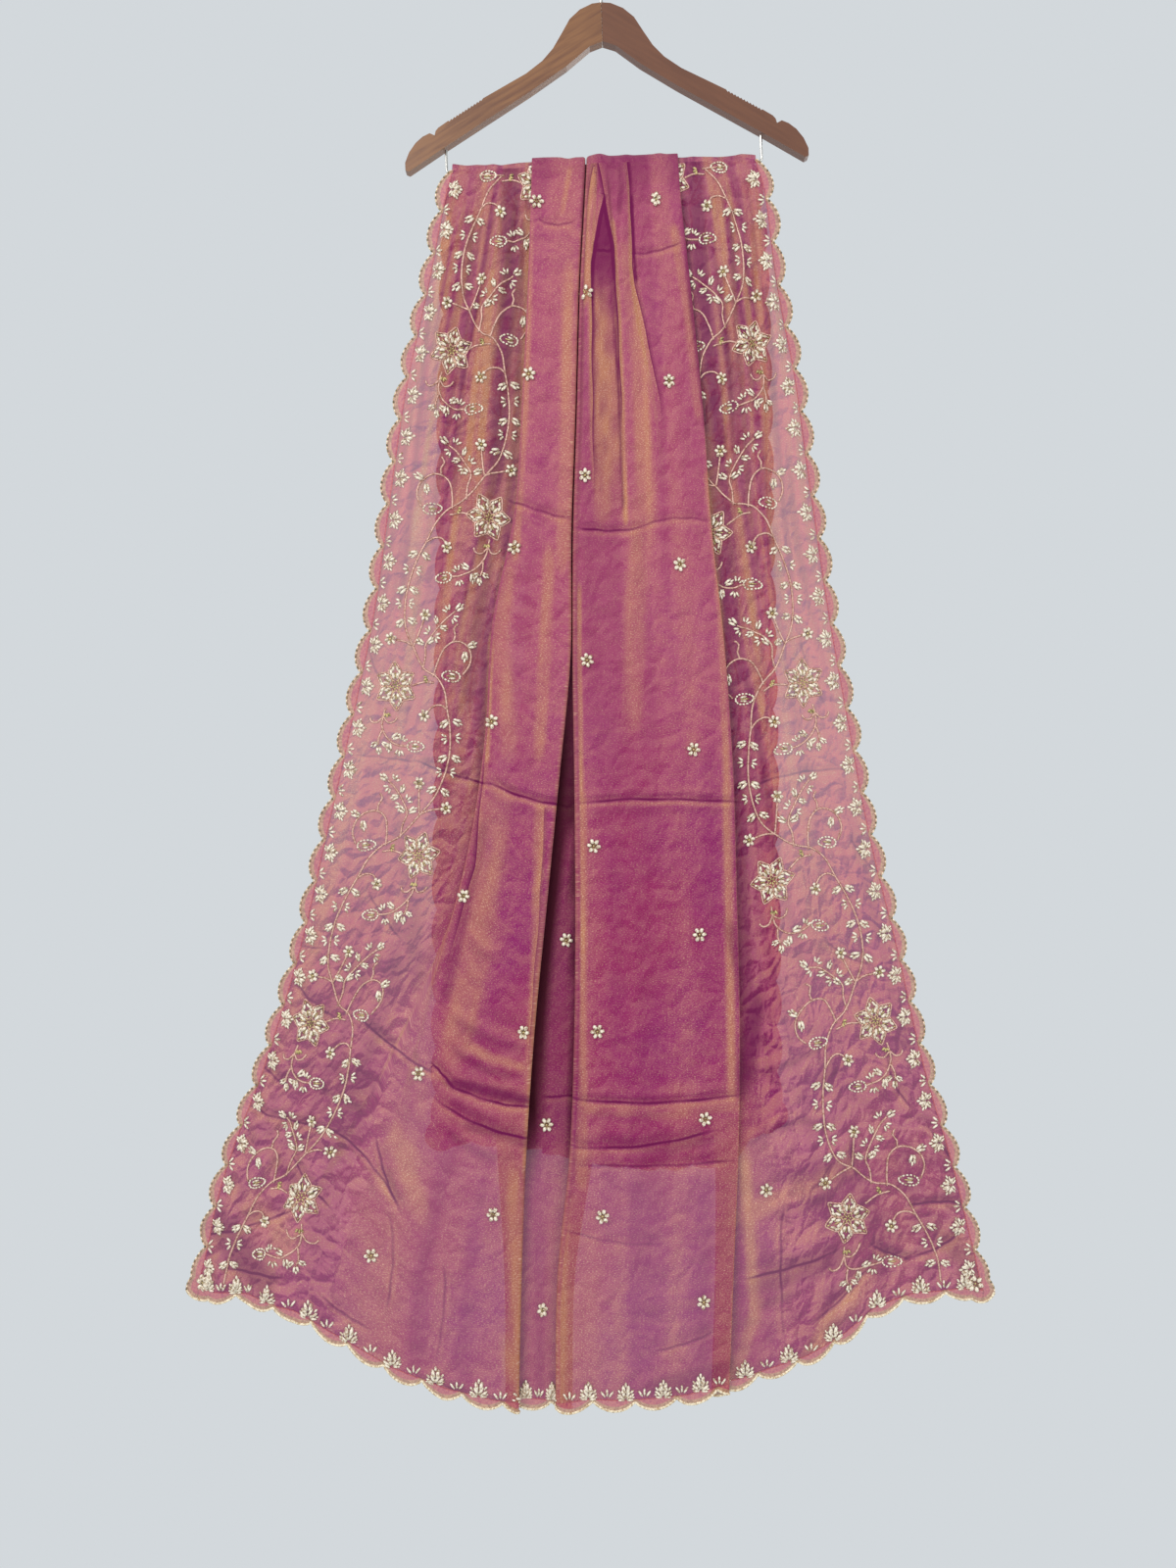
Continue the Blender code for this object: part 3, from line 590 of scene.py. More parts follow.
def turnGrid(frontGrid):
    # The short stretch that goes over the bar, from the front fall's top row to the back's
    rows = meshDivisions["turnRows"]
    top = frontGrid["points"][0]
    outs = frontGrid["out"][0]
    middle = barHeight(frontGrid["x"][0])
    x = frontGrid["x"][0]
    level = np.zeros_like(outs)
    ripple = overBar["ripple"] * valueNoise(x / overBar["ripplePitch"], level, 51)
    ripple += overBar["wave"] * valueNoise(x / overBar["wavePitch"], level, 52)
    ripple += sum(high * np.exp(-(((x - place) / wide) ** 2)) for place, high, wide in barBunches)
    points = []
    for step in range(rows + 1):
        angle = math.pi * step / rows
        reach = outs + (overBar["rise"] + ripple) * math.sin(angle) ** 2
        height = middle + reach * math.sin(angle)
        points.append(np.stack([top[:, 0], -outs * math.cos(angle) * mm, height * mm], axis=-1))
    grid = {"points": np.array(points), "side": 1}
    for name in ("x", "flat", "panel", "layer", "relief"):
        grid[name] = np.repeat(frontGrid[name][:1], rows + 1, axis=0)
    grid["z"] = grid["points"][..., 2] / mm
    down = np.linspace(-overBar["length"], 0.0, rows + 1)
    grid["down"] = np.repeat(down[:, None], grid["flat"].shape[1], axis=1)
    grid["share"] = np.zeros_like(grid["flat"])
    return addNormals(grid)


def joinGrids(over, back):
    joined = {"side": 1}
    for name in ("points", "x", "z", "flat", "down", "panel", "layer", "relief", "share"):
        joined[name] = np.concatenate([over[name][:-1], back[name]])
    return addNormals(joined)


# How strongly each thing turns the cloth gold, rose or dark, painted light, sheen and shade among them, and
# how closely the cloth covers
weftAndPaintedLight = {
    "gold": 0.06, "goldStreaks": 0.12, "sheenTurnedAway": 0.30, "goldLit": 0.28, "goldOuter": 0.10,
    "goldBorder": 0.05, "goldThreads": 0.32, "goldLower": 0.07, "paintedSheenBands": 1.25, "sheenInRecess": 0.46,
    "goldDoubled": 0.16,
    "rosePanel": 0.68, "rosePanelLower": 0.50, "roseBorder": 0.58, "roseStreaks": 0.25, "roseLit": 0.5,
    "roseOuter": 0.36, "patchHighlight": 0.62, "blush": 0.85,
    "dark": 0.04, "darkShaded": 0.60, "darkStreaks": 0.16, "darkThreads": 0.42, "patchShade": 0.26,
    "darkUpper": 0.05, "shadeUnderBar": 0.34, "shadeOnDoubled": 0.14, "shadeOnLayersBehind": 0.45,
    "coverPanel": 0.925, "coverUpper": 0.82, "coverOuter": 0.07, "coverLower": 0.935,
}


def clothTones(grid):
    # How much gold weft and painted sheen shows, how dark each place is, mostly from painted shade, how
    # crumpled, and how closely it covers
    turned = np.abs(grid["normals"][..., 0])
    flat, down, share, panel = grid["flat"], grid["down"], grid["share"], grid["panel"]
    x, z = grid["x"], hanger["woodTop"] - grid["z"]
    spacing = np.maximum(np.abs(np.gradient(down, axis=0)), 0.5)
    downSlope = np.gradient(grid["relief"], axis=0) / spacing
    acrossSlope = np.gradient(grid["relief"], axis=1) / np.maximum(np.gradient(flat, axis=1), 0.3)
    # Painted light and shade from the slopes of the fine relief, as if lit from above and to one side
    lit = np.tanh(2.6 * downSlope - 1.1 * acrossSlope)
    bright, shaded = np.maximum(lit, 0.0), np.maximum(-lit, 0.0)
    streaks = valueNoise(flat / 16.0 + 3, down / 420.0, 41) + valueNoise(flat / 45.0, down / 260.0, 42)
    border = blend(295.0, 330.0, np.abs(flat + 8.0))
    upper = 1.0 - blend(0.5, 0.85, share)
    outer = border * blend(160.0, 200.0, np.abs(x)) * upper
    # Patches of painted light and shade over the puckered lower borders
    patch = valueNoise(x / 62.0 + 7, z / 55.0, 46) + 0.6 * valueNoise(x / 27.0, z / 31.0 + 2, 47)
    patch *= border * (1.0 - upper)
    # Gold weft in streaks, painted sheen where the surface turns sideways and a painted highlight where the
    # relief is lit
    gold = weftAndPaintedLight["gold"] + weftAndPaintedLight["goldStreaks"] * streaks + weftAndPaintedLight["sheenTurnedAway"] * blend(0.1, 0.7, turned)
    gold += weftAndPaintedLight["goldLit"] * bright
    gold -= weftAndPaintedLight["goldOuter"] * outer
    panelRose = weftAndPaintedLight["rosePanel"] - weftAndPaintedLight["rosePanelLower"] * blend(680.0, 980.0, z)
    borderRose = weftAndPaintedLight["roseBorder"] - weftAndPaintedLight["roseStreaks"] * streaks
    # Lit relief gets a painted rose highlight
    rose = mix(panelRose, borderRose, border) + weftAndPaintedLight["roseLit"] * bright
    rose += weftAndPaintedLight["roseOuter"] * outer + weftAndPaintedLight["patchHighlight"] * patch
    thin = valueNoise(flat / 5.0, down / 160.0, 43) + valueNoise(flat / 11.0, down / 300.0, 44)
    calm = 1.0 - 0.6 * outer
    threads = border * (weftAndPaintedLight["goldBorder"] + weftAndPaintedLight["goldThreads"] * thin) * upper * calm
    gold += threads - weftAndPaintedLight["goldLower"] * border * (1.0 - upper)
    # Painted shade where the relief faces away from the light, lessened along the streaks and threads
    dark = weftAndPaintedLight["dark"] + weftAndPaintedLight["darkShaded"] * shaded - weftAndPaintedLight["darkStreaks"] * streaks
    dark -= border * weftAndPaintedLight["darkThreads"] * thin * upper * calm
    dark += weftAndPaintedLight["patchShade"] * np.maximum(-patch, 0.0) - weftAndPaintedLight["darkUpper"] * border * upper
    # Painted shade just below the bar, over the panels
    dark += weftAndPaintedLight["shadeUnderBar"] * (1.0 - blend(172.0, 232.0, z)) * (1.0 - border)
    crumple = 0.24 + border * mix(0.35, 0.9, blend(0.35, 0.75, share))
    tones = {"crumple": crumple, "deep": np.zeros_like(gold)}
    creases = backCreases
    if grid["side"] < 0:
        creases = frontCreases
        shown = np.isin(panel, (0, 2, 6, 8))
        breaks = 0.75 + 0.35 * valueNoise(flat / 9.0, down / 60.0, 45)
        # Painted sheen and painted shade in bands along the folds of the shown cloth
        gold = np.where(shown, gold + weftAndPaintedLight["paintedSheenBands"] * bandStrength(x, z, paintedSheenBands) * breaks, gold)
        dark = np.where(shown, np.maximum(dark, bandStrength(x, z, paintedShadeBands)), dark)
        # Painted shade in the opening between the pleats, giving way lower down to a painted sheen with
        # glints
        inside = grid["recess"]
        glitter = 1.0 + 0.5 * valueNoise(x / 5.0, z / 22.0, 48)
        glitter += 0.4 * valueNoise(x / 14.0, z / 60.0, 49)
        dark = np.maximum(dark, inside * mix(0.85, 0.34 * (2.0 - glitter), blend(268.0, 330.0, z)))
        gold += weftAndPaintedLight["sheenInRecess"] * inside * glitter * blend(270.0, 340.0, z)
        # Painted sheen and shade on the tilted strips where the cloth lies doubled at a fold
        low = blend(0.74, 0.86, share) * grid["doubled"] * (1.0 + 0.35 * streaks)
        gold += weftAndPaintedLight["goldDoubled"] * low
        dark = np.maximum(dark, weftAndPaintedLight["shadeOnDoubled"] * low)
        # Painted shade on the layers behind, and a painted shadow deep in the gap beside its edges
        deep = (1.0 - blend(0.6, 2.2, grid["layer"])) * (1.0 - blend(1190.0, 1290.0, z))
        dark = np.maximum(dark, weftAndPaintedLight["shadeOnLayersBehind"] * deep)
        tones["deep"] = deep * grid["edgeShadow"] * mix(0.1, 1.0, blend(0.38, 0.5, share))
        # Painted shade lines with painted highlights beside them, along the pleat edges
        for first, name in ((0, "A"), (1, "B")):
            off, shows = sharpPleats(x, z, pleatLines, first)
            tones["pleatOff" + name], tones["pleat" + name] = off, shows * np.isin(panel, (2, 6))
    # Painted shade lines with painted highlights beside them, along the creases
    for first, name in ((0, "A"), (1, "B")):
        off, shows = sharpCreases(x, z, creases, first)
        tones["creaseOff" + name], tones["crease" + name] = off, shows * blend(0.0, 0.03, share)
    borderCover = weftAndPaintedLight["coverUpper"] - weftAndPaintedLight["coverOuter"] * outer
    borderCover = mix(borderCover, weftAndPaintedLight["coverLower"], blend(0.5, 0.85, share))
    tones["cover"] = mix(weftAndPaintedLight["coverPanel"], borderCover, border)
    for name, tone in (("gold", gold), ("dark", dark), ("rose", rose), ("blush", weftAndPaintedLight["blush"] * outer)):
        tones[name] = np.clip(tone, 0.0, 1.0)
    return tones


def meshFrom(name, vertices, faces, material):
    # A smooth piece that hangs with the part, all of whose faces have as many corners
    mesh = bpy.data.meshes.new(name)
    faces = np.asarray(faces)
    corners = faces.shape[1]
    places = np.asarray(vertices, dtype=float).reshape(-1)
    mesh.vertices.add(len(places) // 3)
    mesh.vertices.foreach_set("co", places)
    mesh.loops.add(faces.size)
    mesh.loops.foreach_set("vertex_index", faces.reshape(-1))
    mesh.polygons.add(len(faces))
    mesh.polygons.foreach_set("loop_start", np.arange(0, faces.size, corners))
    mesh.update(calc_edges=True)
    mesh.validate()
    mesh.shade_smooth()
    mesh.materials.append(material)
    piece = bpy.data.objects.new(name, mesh)
    bpy.context.scene.collection.objects.link(piece)
    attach(piece, "root")
    return piece


def gridMesh(name, grid):
    # A thin open sheet through the grid, with its flat place as UV and its tones as attributes
    rows, columns = grid["flat"].shape
    index = np.arange(rows * columns).reshape(rows, columns)
    corners = [index[:-1, :-1], index[:-1, 1:], index[1:, 1:], index[1:, :-1]]
    quads = np.stack(corners, axis=-1).reshape(-1, 4)
    if grid["side"] < 0:
        quads = quads[:, ::-1]
    piece = meshFrom(name, grid["points"], quads, organzaCloth)
    flat = np.stack([grid["flat"], grid["down"]], axis=-1).reshape(-1, 2) * mm
    layer = piece.data.uv_layers.new(name="flatCloth")
    layer.data.foreach_set("uv", flat[quads.reshape(-1)].reshape(-1))
    for tone, values in clothTones(grid).items():
        attribute = piece.data.attributes.new(tone, "FLOAT", "POINT")
        attribute.data.foreach_set("value", values.reshape(-1))
    return piece


def newMaterial(name):
    material = bpy.data.materials.new(name)
    material.use_nodes = True
    nodes = material.node_tree.nodes
    return material, nodes, material.node_tree.links, nodes["Principled BSDF"]


def mixColour(nodes, links, factor, first, second):
    node = nodes.new("ShaderNodeMix")
    node.data_type = "RGBA"
    for socket, value in ((node.inputs[6], first), (node.inputs[7], second), (node.inputs[0], factor)):
        if isinstance(value, bpy.types.NodeSocket):
            links.new(value, socket)
        else:
            socket.default_value = value
    return node.outputs[2]


def grey(value):
    return (value, value, value, 1.0)


def ramp(nodes, links, source, stops):
    # A grey that changes evenly from one stop to the next
    node = nodes.new("ShaderNodeValToRGB")
    links.new(source, node.inputs["Fac"])
    elements = node.color_ramp.elements
    for element, (position, value) in ((elements[0], stops[0]), (elements[1], stops[-1])):
        element.position, element.color = position, grey(value)
    for position, value in stops[1:-1]:
        element = elements.new(position)
        element.color = grey(value)
    return node.outputs["Color"]


def speckle(nodes, links, scale):
    # Fine noise that keeps its place on the piece
    place = nodes.new("ShaderNodeTexCoord")
    noise = nodes.new("ShaderNodeTexNoise")
    noise.inputs["Scale"].default_value = scale
    noise.inputs["Detail"].default_value = 2.0
    links.new(place.outputs["Object"], noise.inputs["Vector"])
    return noise.outputs["Fac"]


def addBump(nodes, links, shader, height, strength, depth):
    bump = nodes.new("ShaderNodeBump")
    bump.inputs["Strength"].default_value = strength
    bump.inputs["Distance"].default_value = depth
    links.new(height, bump.inputs["Height"])
    links.new(bump.outputs["Normal"], shader.inputs["Normal"])


organza = {
    "magenta": (0.330, 0.026, 0.120, 1.0),
    "rose": (0.460, 0.105, 0.190, 1.0),
    "blush": (0.64, 0.125, 0.135, 1.0),
    "gold": (0.56, 0.235, 0.125, 1.0),
    # This colour paints shade, and the one after it the shadow deep in the gap
    "dark": (0.158, 0.007, 0.072, 1.0),
    "deep": (0.045, 0.003, 0.012, 1.0),
    "plum": (0.275, 0.022, 0.160, 1.0),
    # Colour of painted glints
    "glint": (0.80, 0.47, 0.34, 1.0),
    "roughness": 0.5,
    "specular": 0.12, "specularTint": (1.0, 0.62, 0.45, 1.0),
    "sheen": 0.08, "sheenTint": (1.0, 0.6, 0.4, 1.0),
    "bumpStrength": 0.4, "bumpDepth": 0.0006,
    "grain": (480.0, 1050.0), "mottle": (60.0, 85.0), "cloud": (7.0, 4.5),  # across and down, per metre
    "largeCrumple": 30.0, "smallCrumple": 74.0, "largeTilt": 5.5, "smallTilt": 2.2,
    "crumpleRose": 1.5, "crumpleGold": 0.3, "crumpleDark": 0.42, "mottleRose": 0.7, "mottleDark": 0.25,
}
# How the painted shade line and the painted highlight strip of a crease or pleat rise and fall across it:
# shares of a span of this many mm, whose middle is the edge itself, and the strength there
drawnLines = {
    "span": 24.0,
    "crease": {
        "line": ((0.425, 0.0), (0.478, 1.0), (0.522, 1.0), (0.575, 0.0)),
        "beside": ((0.28, 0.0), (0.38, 0.45), (0.43, 0.0), (0.58, 0.0), (0.66, 0.8), (0.84, 0.0)),
        "dark": 0.95, "gold": 0.45,
    },
    "pleat": {
        "line": ((0.30, 0.0), (0.455, 0.55), (0.488, 1.0), (0.512, 0.0)),
        "beside": ((0.50, 0.0), (0.53, 1.0), (0.59, 0.55), (0.75, 0.0)),
        "dark": 0.9, "gold": 0.48,
    },
}


def organzaMaterial():
    material, nodes, links, shader = newMaterial("shotOrganza")
    place = nodes.new("ShaderNodeUVMap")
    place.uv_map = "flatCloth"

    def tone(name):
        attribute = nodes.new("ShaderNodeAttribute")
        attribute.attribute_name = name
        return attribute.outputs["Fac"]

    def calculate(operation, first, second, third=None, limit=False):
        node = nodes.new("ShaderNodeMath")
        node.operation = operation
        node.use_clamp = limit
        for socket, value in zip(node.inputs, (first, second, third)):
            if isinstance(value, bpy.types.NodeSocket):
                links.new(value, socket)
            elif value is not None:
                socket.default_value = value
        return node.outputs[0]

    def stretched(across, down, shift=(0.0, 0.0, 0.0)):
        stretch = nodes.new("ShaderNodeMapping")
        stretch.inputs["Scale"].default_value = (across, down, 1.0)
        stretch.inputs["Location"].default_value = shift
        links.new(place.outputs["UV"], stretch.inputs["Vector"])
        return stretch.outputs["Vector"]

    def clothNoise(across, down, detail):
        noise = nodes.new("ShaderNodeTexNoise")
        noise.inputs["Scale"].default_value = 1.0
        noise.inputs["Detail"].default_value = detail
        links.new(stretched(across, down), noise.inputs["Vector"])
        return noise.outputs["Fac"]

    def crumpleHeight(scale, shift):
        # Flat facets between wandering ridges, as in crushed organza
        vector = stretched(scale, 0.8 * scale, shift)
        bend = nodes.new("ShaderNodeTexNoise")
        bend.inputs["Scale"].default_value = 0.9
        bend.inputs["Detail"].default_value = 2.0
        links.new(vector, bend.inputs["Vector"])
        bent = nodes.new("ShaderNodeVectorMath")
        bent.operation = "MULTIPLY_ADD"
        links.new(bend.outputs["Color"], bent.inputs[0])
        bent.inputs[1].default_value = (1.6, 1.6, 0.0)
        links.new(vector, bent.inputs[2])
        facets = nodes.new("ShaderNodeTexVoronoi")
        facets.feature = "DISTANCE_TO_EDGE"
        facets.voronoi_dimensions = "2D"
        facets.inputs["Scale"].default_value = 1.0
        links.new(bent.outputs["Vector"], facets.inputs["Vector"])
        return facets.outputs["Distance"]

    grain = clothNoise(*organza["grain"], 2.0)
    mottle = clothNoise(*organza["mottle"], 3.0)
    cloud = clothNoise(*organza["cloud"], 3.0)
    cloudShare = ramp(nodes, links, cloud, ((0.40, 0.0), (0.62, 0.6)))
    crumple = tone("crumple")
    large = crumpleHeight(organza["largeCrumple"], (0.0, 0.0, 0.0))
    largeBeside = crumpleHeight(organza["largeCrumple"], (0.03, 0.06, 0.0))
    small = crumpleHeight(organza["smallCrumple"], (3.0, 5.0, 0.0))
    smallBeside = crumpleHeight(organza["smallCrumple"], (3.06, 5.1, 0.0))
    # Which way each facet leans, from its height here and a little beside, to paint light and shade on it
    largeTilt = calculate("MULTIPLY", calculate("SUBTRACT", largeBeside, large), organza["largeTilt"])
    smallTilt = calculate("MULTIPLY", calculate("SUBTRACT", smallBeside, small), organza["smallTilt"])
    tilt = calculate("ADD", largeTilt, smallTilt)
    tilt = calculate("MULTIPLY", tilt, crumple)
    # Facets that lean one way get a painted highlight in rose and gold, those that lean the other way painted
    # shade
    facing = calculate("MAXIMUM", tilt, 0.0)
    roseShare = calculate("MULTIPLY_ADD", tilt, organza["crumpleRose"], tone("rose"))
    roseShare = calculate("MULTIPLY_ADD", mottle, organza["mottleRose"], roseShare)
    roseShare = calculate("ADD", roseShare, -organza["mottleRose"] / 2, limit=True)
    ground = mixColour(nodes, links, cloudShare, organza["magenta"], organza["plum"])
    lighter = mixColour(nodes, links, tone("blush"), organza["rose"], organza["blush"])
    base = mixColour(nodes, links, roseShare, ground, lighter)
    goldShare = calculate("MULTIPLY_ADD", facing, organza["crumpleGold"], tone("gold"))
    away = calculate("MAXIMUM", calculate("MULTIPLY", tilt, -1.0), 0.0)
    darkShare = calculate("MULTIPLY_ADD", away, organza["crumpleDark"], tone("dark"))
    # Each crease and pleat edge: a painted shade line, and a painted highlight strip beside it
    for name in ("A", "B"):
        for kind in ("crease", "pleat"):
            drawn = drawnLines[kind]
            across = calculate("MULTIPLY_ADD", tone(kind + "Off" + name), 1.0 / drawnLines["span"], 0.5)
            line = ramp(nodes, links, across, drawn["line"])
            beside = ramp(nodes, links, across, drawn["beside"])
            shows = tone(kind + name)
            line = calculate("MULTIPLY", line, shows)
            darkShare = calculate("MULTIPLY_ADD", line, drawn["dark"], darkShare)
            beside = calculate("MULTIPLY", beside, shows)
            goldShare = calculate("MULTIPLY_ADD", beside, drawn["gold"], goldShare)
    woven = calculate("MULTIPLY_ADD", grain, 0.75, calculate("MULTIPLY", mottle, 0.40))
    goldShare = calculate("ADD", calculate("ADD", goldShare, woven), -0.55, limit=True)
    golden = mixColour(nodes, links, goldShare, base, organza["gold"])
    # Painted glints on the brightest grains, stronger where the cloth shows gold
    glintShare = ramp(nodes, links, grain, ((0.54, 0.0), (0.74, 0.75)))
    glitter = calculate("MULTIPLY", glintShare, calculate("MULTIPLY_ADD", goldShare, 1.6, 0.25), limit=True)
    glinted = mixColour(nodes, links, glitter, golden, organza["glint"])
    darkShare = calculate("MULTIPLY_ADD", mottle, organza["mottleDark"], darkShare)
    darkShare = calculate("SUBTRACT", darkShare, organza["mottleDark"] / 2, limit=True)
    darkened = mixColour(nodes, links, darkShare, glinted, organza["dark"])
    # Painted shadow deep in the gap between the panels
    links.new(mixColour(nodes, links, tone("deep"), darkened, organza["deep"]), shader.inputs["Base Color"])
    links.new(tone("cover"), shader.inputs["Alpha"])
    shader.inputs["Roughness"].default_value = organza["roughness"]
    shader.inputs["Specular IOR Level"].default_value = organza["specular"]
    shader.inputs["Specular Tint"].default_value = organza["specularTint"]
    shader.inputs["Sheen Weight"].default_value = organza["sheen"]
    shader.inputs["Sheen Tint"].default_value = organza["sheenTint"]
    crushed = calculate("MULTIPLY_ADD", small, 0.6, calculate("MULTIPLY", large, 2.0))
    crushed = calculate("MULTIPLY", crushed, crumple)
    height = calculate("ADD", calculate("MULTIPLY_ADD", mottle, 0.8, grain), crushed)
    addBump(nodes, links, shader, height, organza["bumpStrength"], organza["bumpDepth"])
    return material


# Bright and dull colour of each kind of bead and thread, which catch the light unevenly
beadColours = {
    "silverBeads": ((0.96, 0.86, 0.69, 1.0), (0.44, 0.29, 0.17, 1.0)),
    "goldBeads": ((0.66, 0.52, 0.22, 1.0), (0.20, 0.15, 0.05, 1.0)),
    "darkGoldBeads": ((0.34, 0.27, 0.13, 1.0), (0.10, 0.085, 0.035, 1.0)),
    "paleGoldBeads": ((0.98, 0.86, 0.62, 1.0), (0.56, 0.38, 0.20, 1.0)),
    "vineThread": ((0.78, 0.48, 0.38, 1.0), (0.46, 0.22, 0.16, 1.0)),
}
beadShine = {"grain": 420.0, "roughness": 0.25, "metallic": 0.15, "specular": 0.6}


def beadMaterial(name):
    material, nodes, links, shader = newMaterial(name)
    bright, dull = beadColours[name]
    share = ramp(nodes, links, speckle(nodes, links, beadShine["grain"]), ((0.36, 0.0), (0.54, 1.0)))
    links.new(mixColour(nodes, links, share, dull, bright), shader.inputs["Base Color"])
    shader.inputs["Roughness"].default_value = beadShine["roughness"]
    shader.inputs["Metallic"].default_value = beadShine["metallic"]
    shader.inputs["Specular IOR Level"].default_value = beadShine["specular"]
    return material


print("draping the front fall, the turn over the bar and the back fall")
frontGrid = foldGrid(
    frontFolds, frontMarks, frontHem, meshDivisions["frontRows"], -1, frontForm, cloth["frontLength"],
)
backGrid = foldGrid(
    backFolds, backMarks, backHem, meshDivisions["backRows"], 1, backForm, cloth["backLength"],
)
turn = turnGrid(frontGrid)
organzaCloth = organzaMaterial()
frontPiece = gridMesh("frontFall", frontGrid)
backPiece = gridMesh("backFall", joinGrids(turn, backGrid))
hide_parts("cloth_front_fall")
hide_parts("cloth_bar_turn", "cloth_back_fall")


# Embroidery is drawn flat, then laid on the cloth
lookupHalf = 520  # how far from the cloth's middle its places are looked up, in mm
lookupEdge = 32  # nearer than this to the lookup's end, a move is taken from here
stitching = {"threads": [], "beads": [], "grid": None}


def flatLookup(grid):
    # For each row, the column at every whole mm across the flat cloth, and how a flat move turns out there
    columns = np.arange(grid["flat"].shape[1])
    places = np.arange(-lookupHalf, lookupHalf + 0.5, 1.0)
    grid["lookup"] = np.array([np.interp(places, row, columns) for row in grid["flat"]])
    hung = [np.array([np.interp(found, columns, row) for found, row in zip(grid["lookup"], values)])
            for values in (grid["x"], -grid["z"])]
    down = grid["down"][:, :1]
    beside, under = 7, 3  # mm across and rows down to either side, over which a move is measured
    moves = []
    for values in hung:
        across = (np.roll(values, -beside, axis=1) - np.roll(values, beside, axis=1)) / (2.0 * beside)
        later, earlier = np.roll(values, -under, axis=0), np.roll(values, under, axis=0)
        below = (later - earlier) / (np.roll(down, -under, axis=0) - np.roll(down, under, axis=0))
        moves += [across, below]
    grid["stretch"] = np.stack(moves, axis=-1)
    return grid


def flatMove(place, across, below):
    # The move on the flat cloth that gives this move on the hung cloth
    grid = stitching["grid"]
    rows = grid["flat"].shape[0]
    row = int(min(max(place[1] / grid["fall"] * (rows - 1), 3), rows - 4))
    column = int(min(max(place[0] + lookupHalf, lookupEdge), 2 * lookupHalf - lookupEdge))
    acrossX, belowX, acrossZ, belowZ = grid["stretch"][row, column]
    size = acrossX * belowZ - belowX * acrossZ
    if acrossX < 0.25 or size < 0.25:
        return across, below
    across *= min(1.0, max(0.62, acrossX))
    return (belowZ * across - belowX * below) / size, (acrossX * below - acrossZ * across) / size


def onCloth(grid, flat, down):
    # Point and outward normal of the cloth at flat places given in mm
    rows, columns = grid["flat"].shape
    row = np.clip(down / grid["fall"] * (rows - 1), 0.0, rows - 1.001)
    row0 = row.astype(int)
    rowShare = (row - row0)[:, None]
    place = np.clip(flat + lookupHalf, 0.0, 2.0 * lookupHalf - 1.0)
    place0 = place.astype(int)
    placeShare = place - place0
    found = []
    pick = np.arange(len(flat))
    for level in (row0, row0 + 1):
        lookup = grid["lookup"][level]
        column = mix(lookup[pick, place0], lookup[pick, place0 + 1], placeShare)
        column = np.clip(column, 0.0, columns - 1.001)
        column0 = column.astype(int)
        columnShare = (column - column0)[:, None]
        for values in (grid["points"], grid["normals"]):
            found.append(mix(values[level, column0], values[level, column0 + 1], columnShare))
    points = mix(found[0], found[2], rowShare)
    normals = mix(found[1], found[3], rowShare)
    return points, normals / np.linalg.norm(normals, axis=-1, keepdims=True)


def sew(points, width):
    # A stitched line through flat points, smoothed between them
    points = np.array(points, dtype=float)
    if len(points) > 2:
        ends = np.vstack([2 * points[0] - points[1], points, 2 * points[-1] - points[-2]])
        smooth = []
        for index in range(1, len(ends) - 2):
            p0, p1, p2, p3 = ends[index - 1:index + 3]
            count = max(2, int(np.linalg.norm(p2 - p1) / 2.6))
            for step in range(count):
                t = step / count
                bend, swing = 2 * p0 - 5 * p1 + 4 * p2 - p3, 3 * p1 - p0 - 3 * p2 + p3
                smooth.append(0.5 * (2 * p1 + (p2 - p0) * t + bend * t**2 + swing * t**3))
        smooth.append(points[-1])
        points = np.array(smooth)
    stitching["threads"].append((points, width))


def bead(x, y, angle, length, width, colour):
    across, below = flatMove((x, y), math.cos(angle), math.sin(angle))
    stitching["beads"].append((x, y, math.atan2(below, across), length, width, colour))


def turned(origin, angle, points):
    c, s = math.cos(angle), math.sin(angle)
    moves = [flatMove(origin, c * px - s * py, s * px + c * py) for px, py in points]
    return [(origin[0] + across, origin[1] + below) for across, below in moves]


def beadLoop(origin, angle, length, width, count, colour, size, pointed=0.0):
    # Beads end to end round a leaf or petal that starts at origin
    for step in range(count):
        t = 2.0 * math.pi * (step + 0.5) / count
        far = 0.5 - 0.5 * math.cos(t)
        px = length * far
        py = 0.5 * width * math.sin(t) * (1.0 - pointed * far)
        slope = math.atan2(0.5 * width * math.cos(t), 0.5 * length * math.sin(t))
        (x, y), = turned(origin, angle, [(px, py)])
        bead(x, y, angle + slope, size, size * 0.72, colour)


def laidBeads(origin, angle, rows):
    # Long beads side by side: how far out and across each lies, its lean, length, width and colour
    for out, across, lean, length, width, colour in rows:
        (x, y), = turned(origin, angle, [(out, across)])
        bead(x, y, angle + lean, length, width, colour)


def leaf(origin, angle, length, width, colour="silver"):
    if length < 14.0:
        laidBeads(origin, angle, (
            (0.48 * length, 0.25 * width, 0.20, 0.86 * length, 0.46 * width, colour),
            (0.48 * length, -0.25 * width, -0.20, 0.86 * length, 0.46 * width, colour),
            (0.86 * length, 0.0, 0.0, 0.46 * length, 0.34 * width, colour),
        ))
        return
    around = math.pi * math.sqrt(0.5 * (length**2 + width**2)) * 0.95
    beadLoop(origin, angle, length, width, max(6, round(around / 3.4)), colour, 3.4, 0.3)
    laidBeads(origin, angle, (
        (0.42 * length, 0.17 * width, 0.12, 0.40 * length, 2.6, colour),
        (0.42 * length, -0.17 * width, -0.12, 0.40 * length, 2.6, colour),
        (0.50 * length, 0.0, 0.0, 0.55 * length, 1.7, "gold"),
    ))


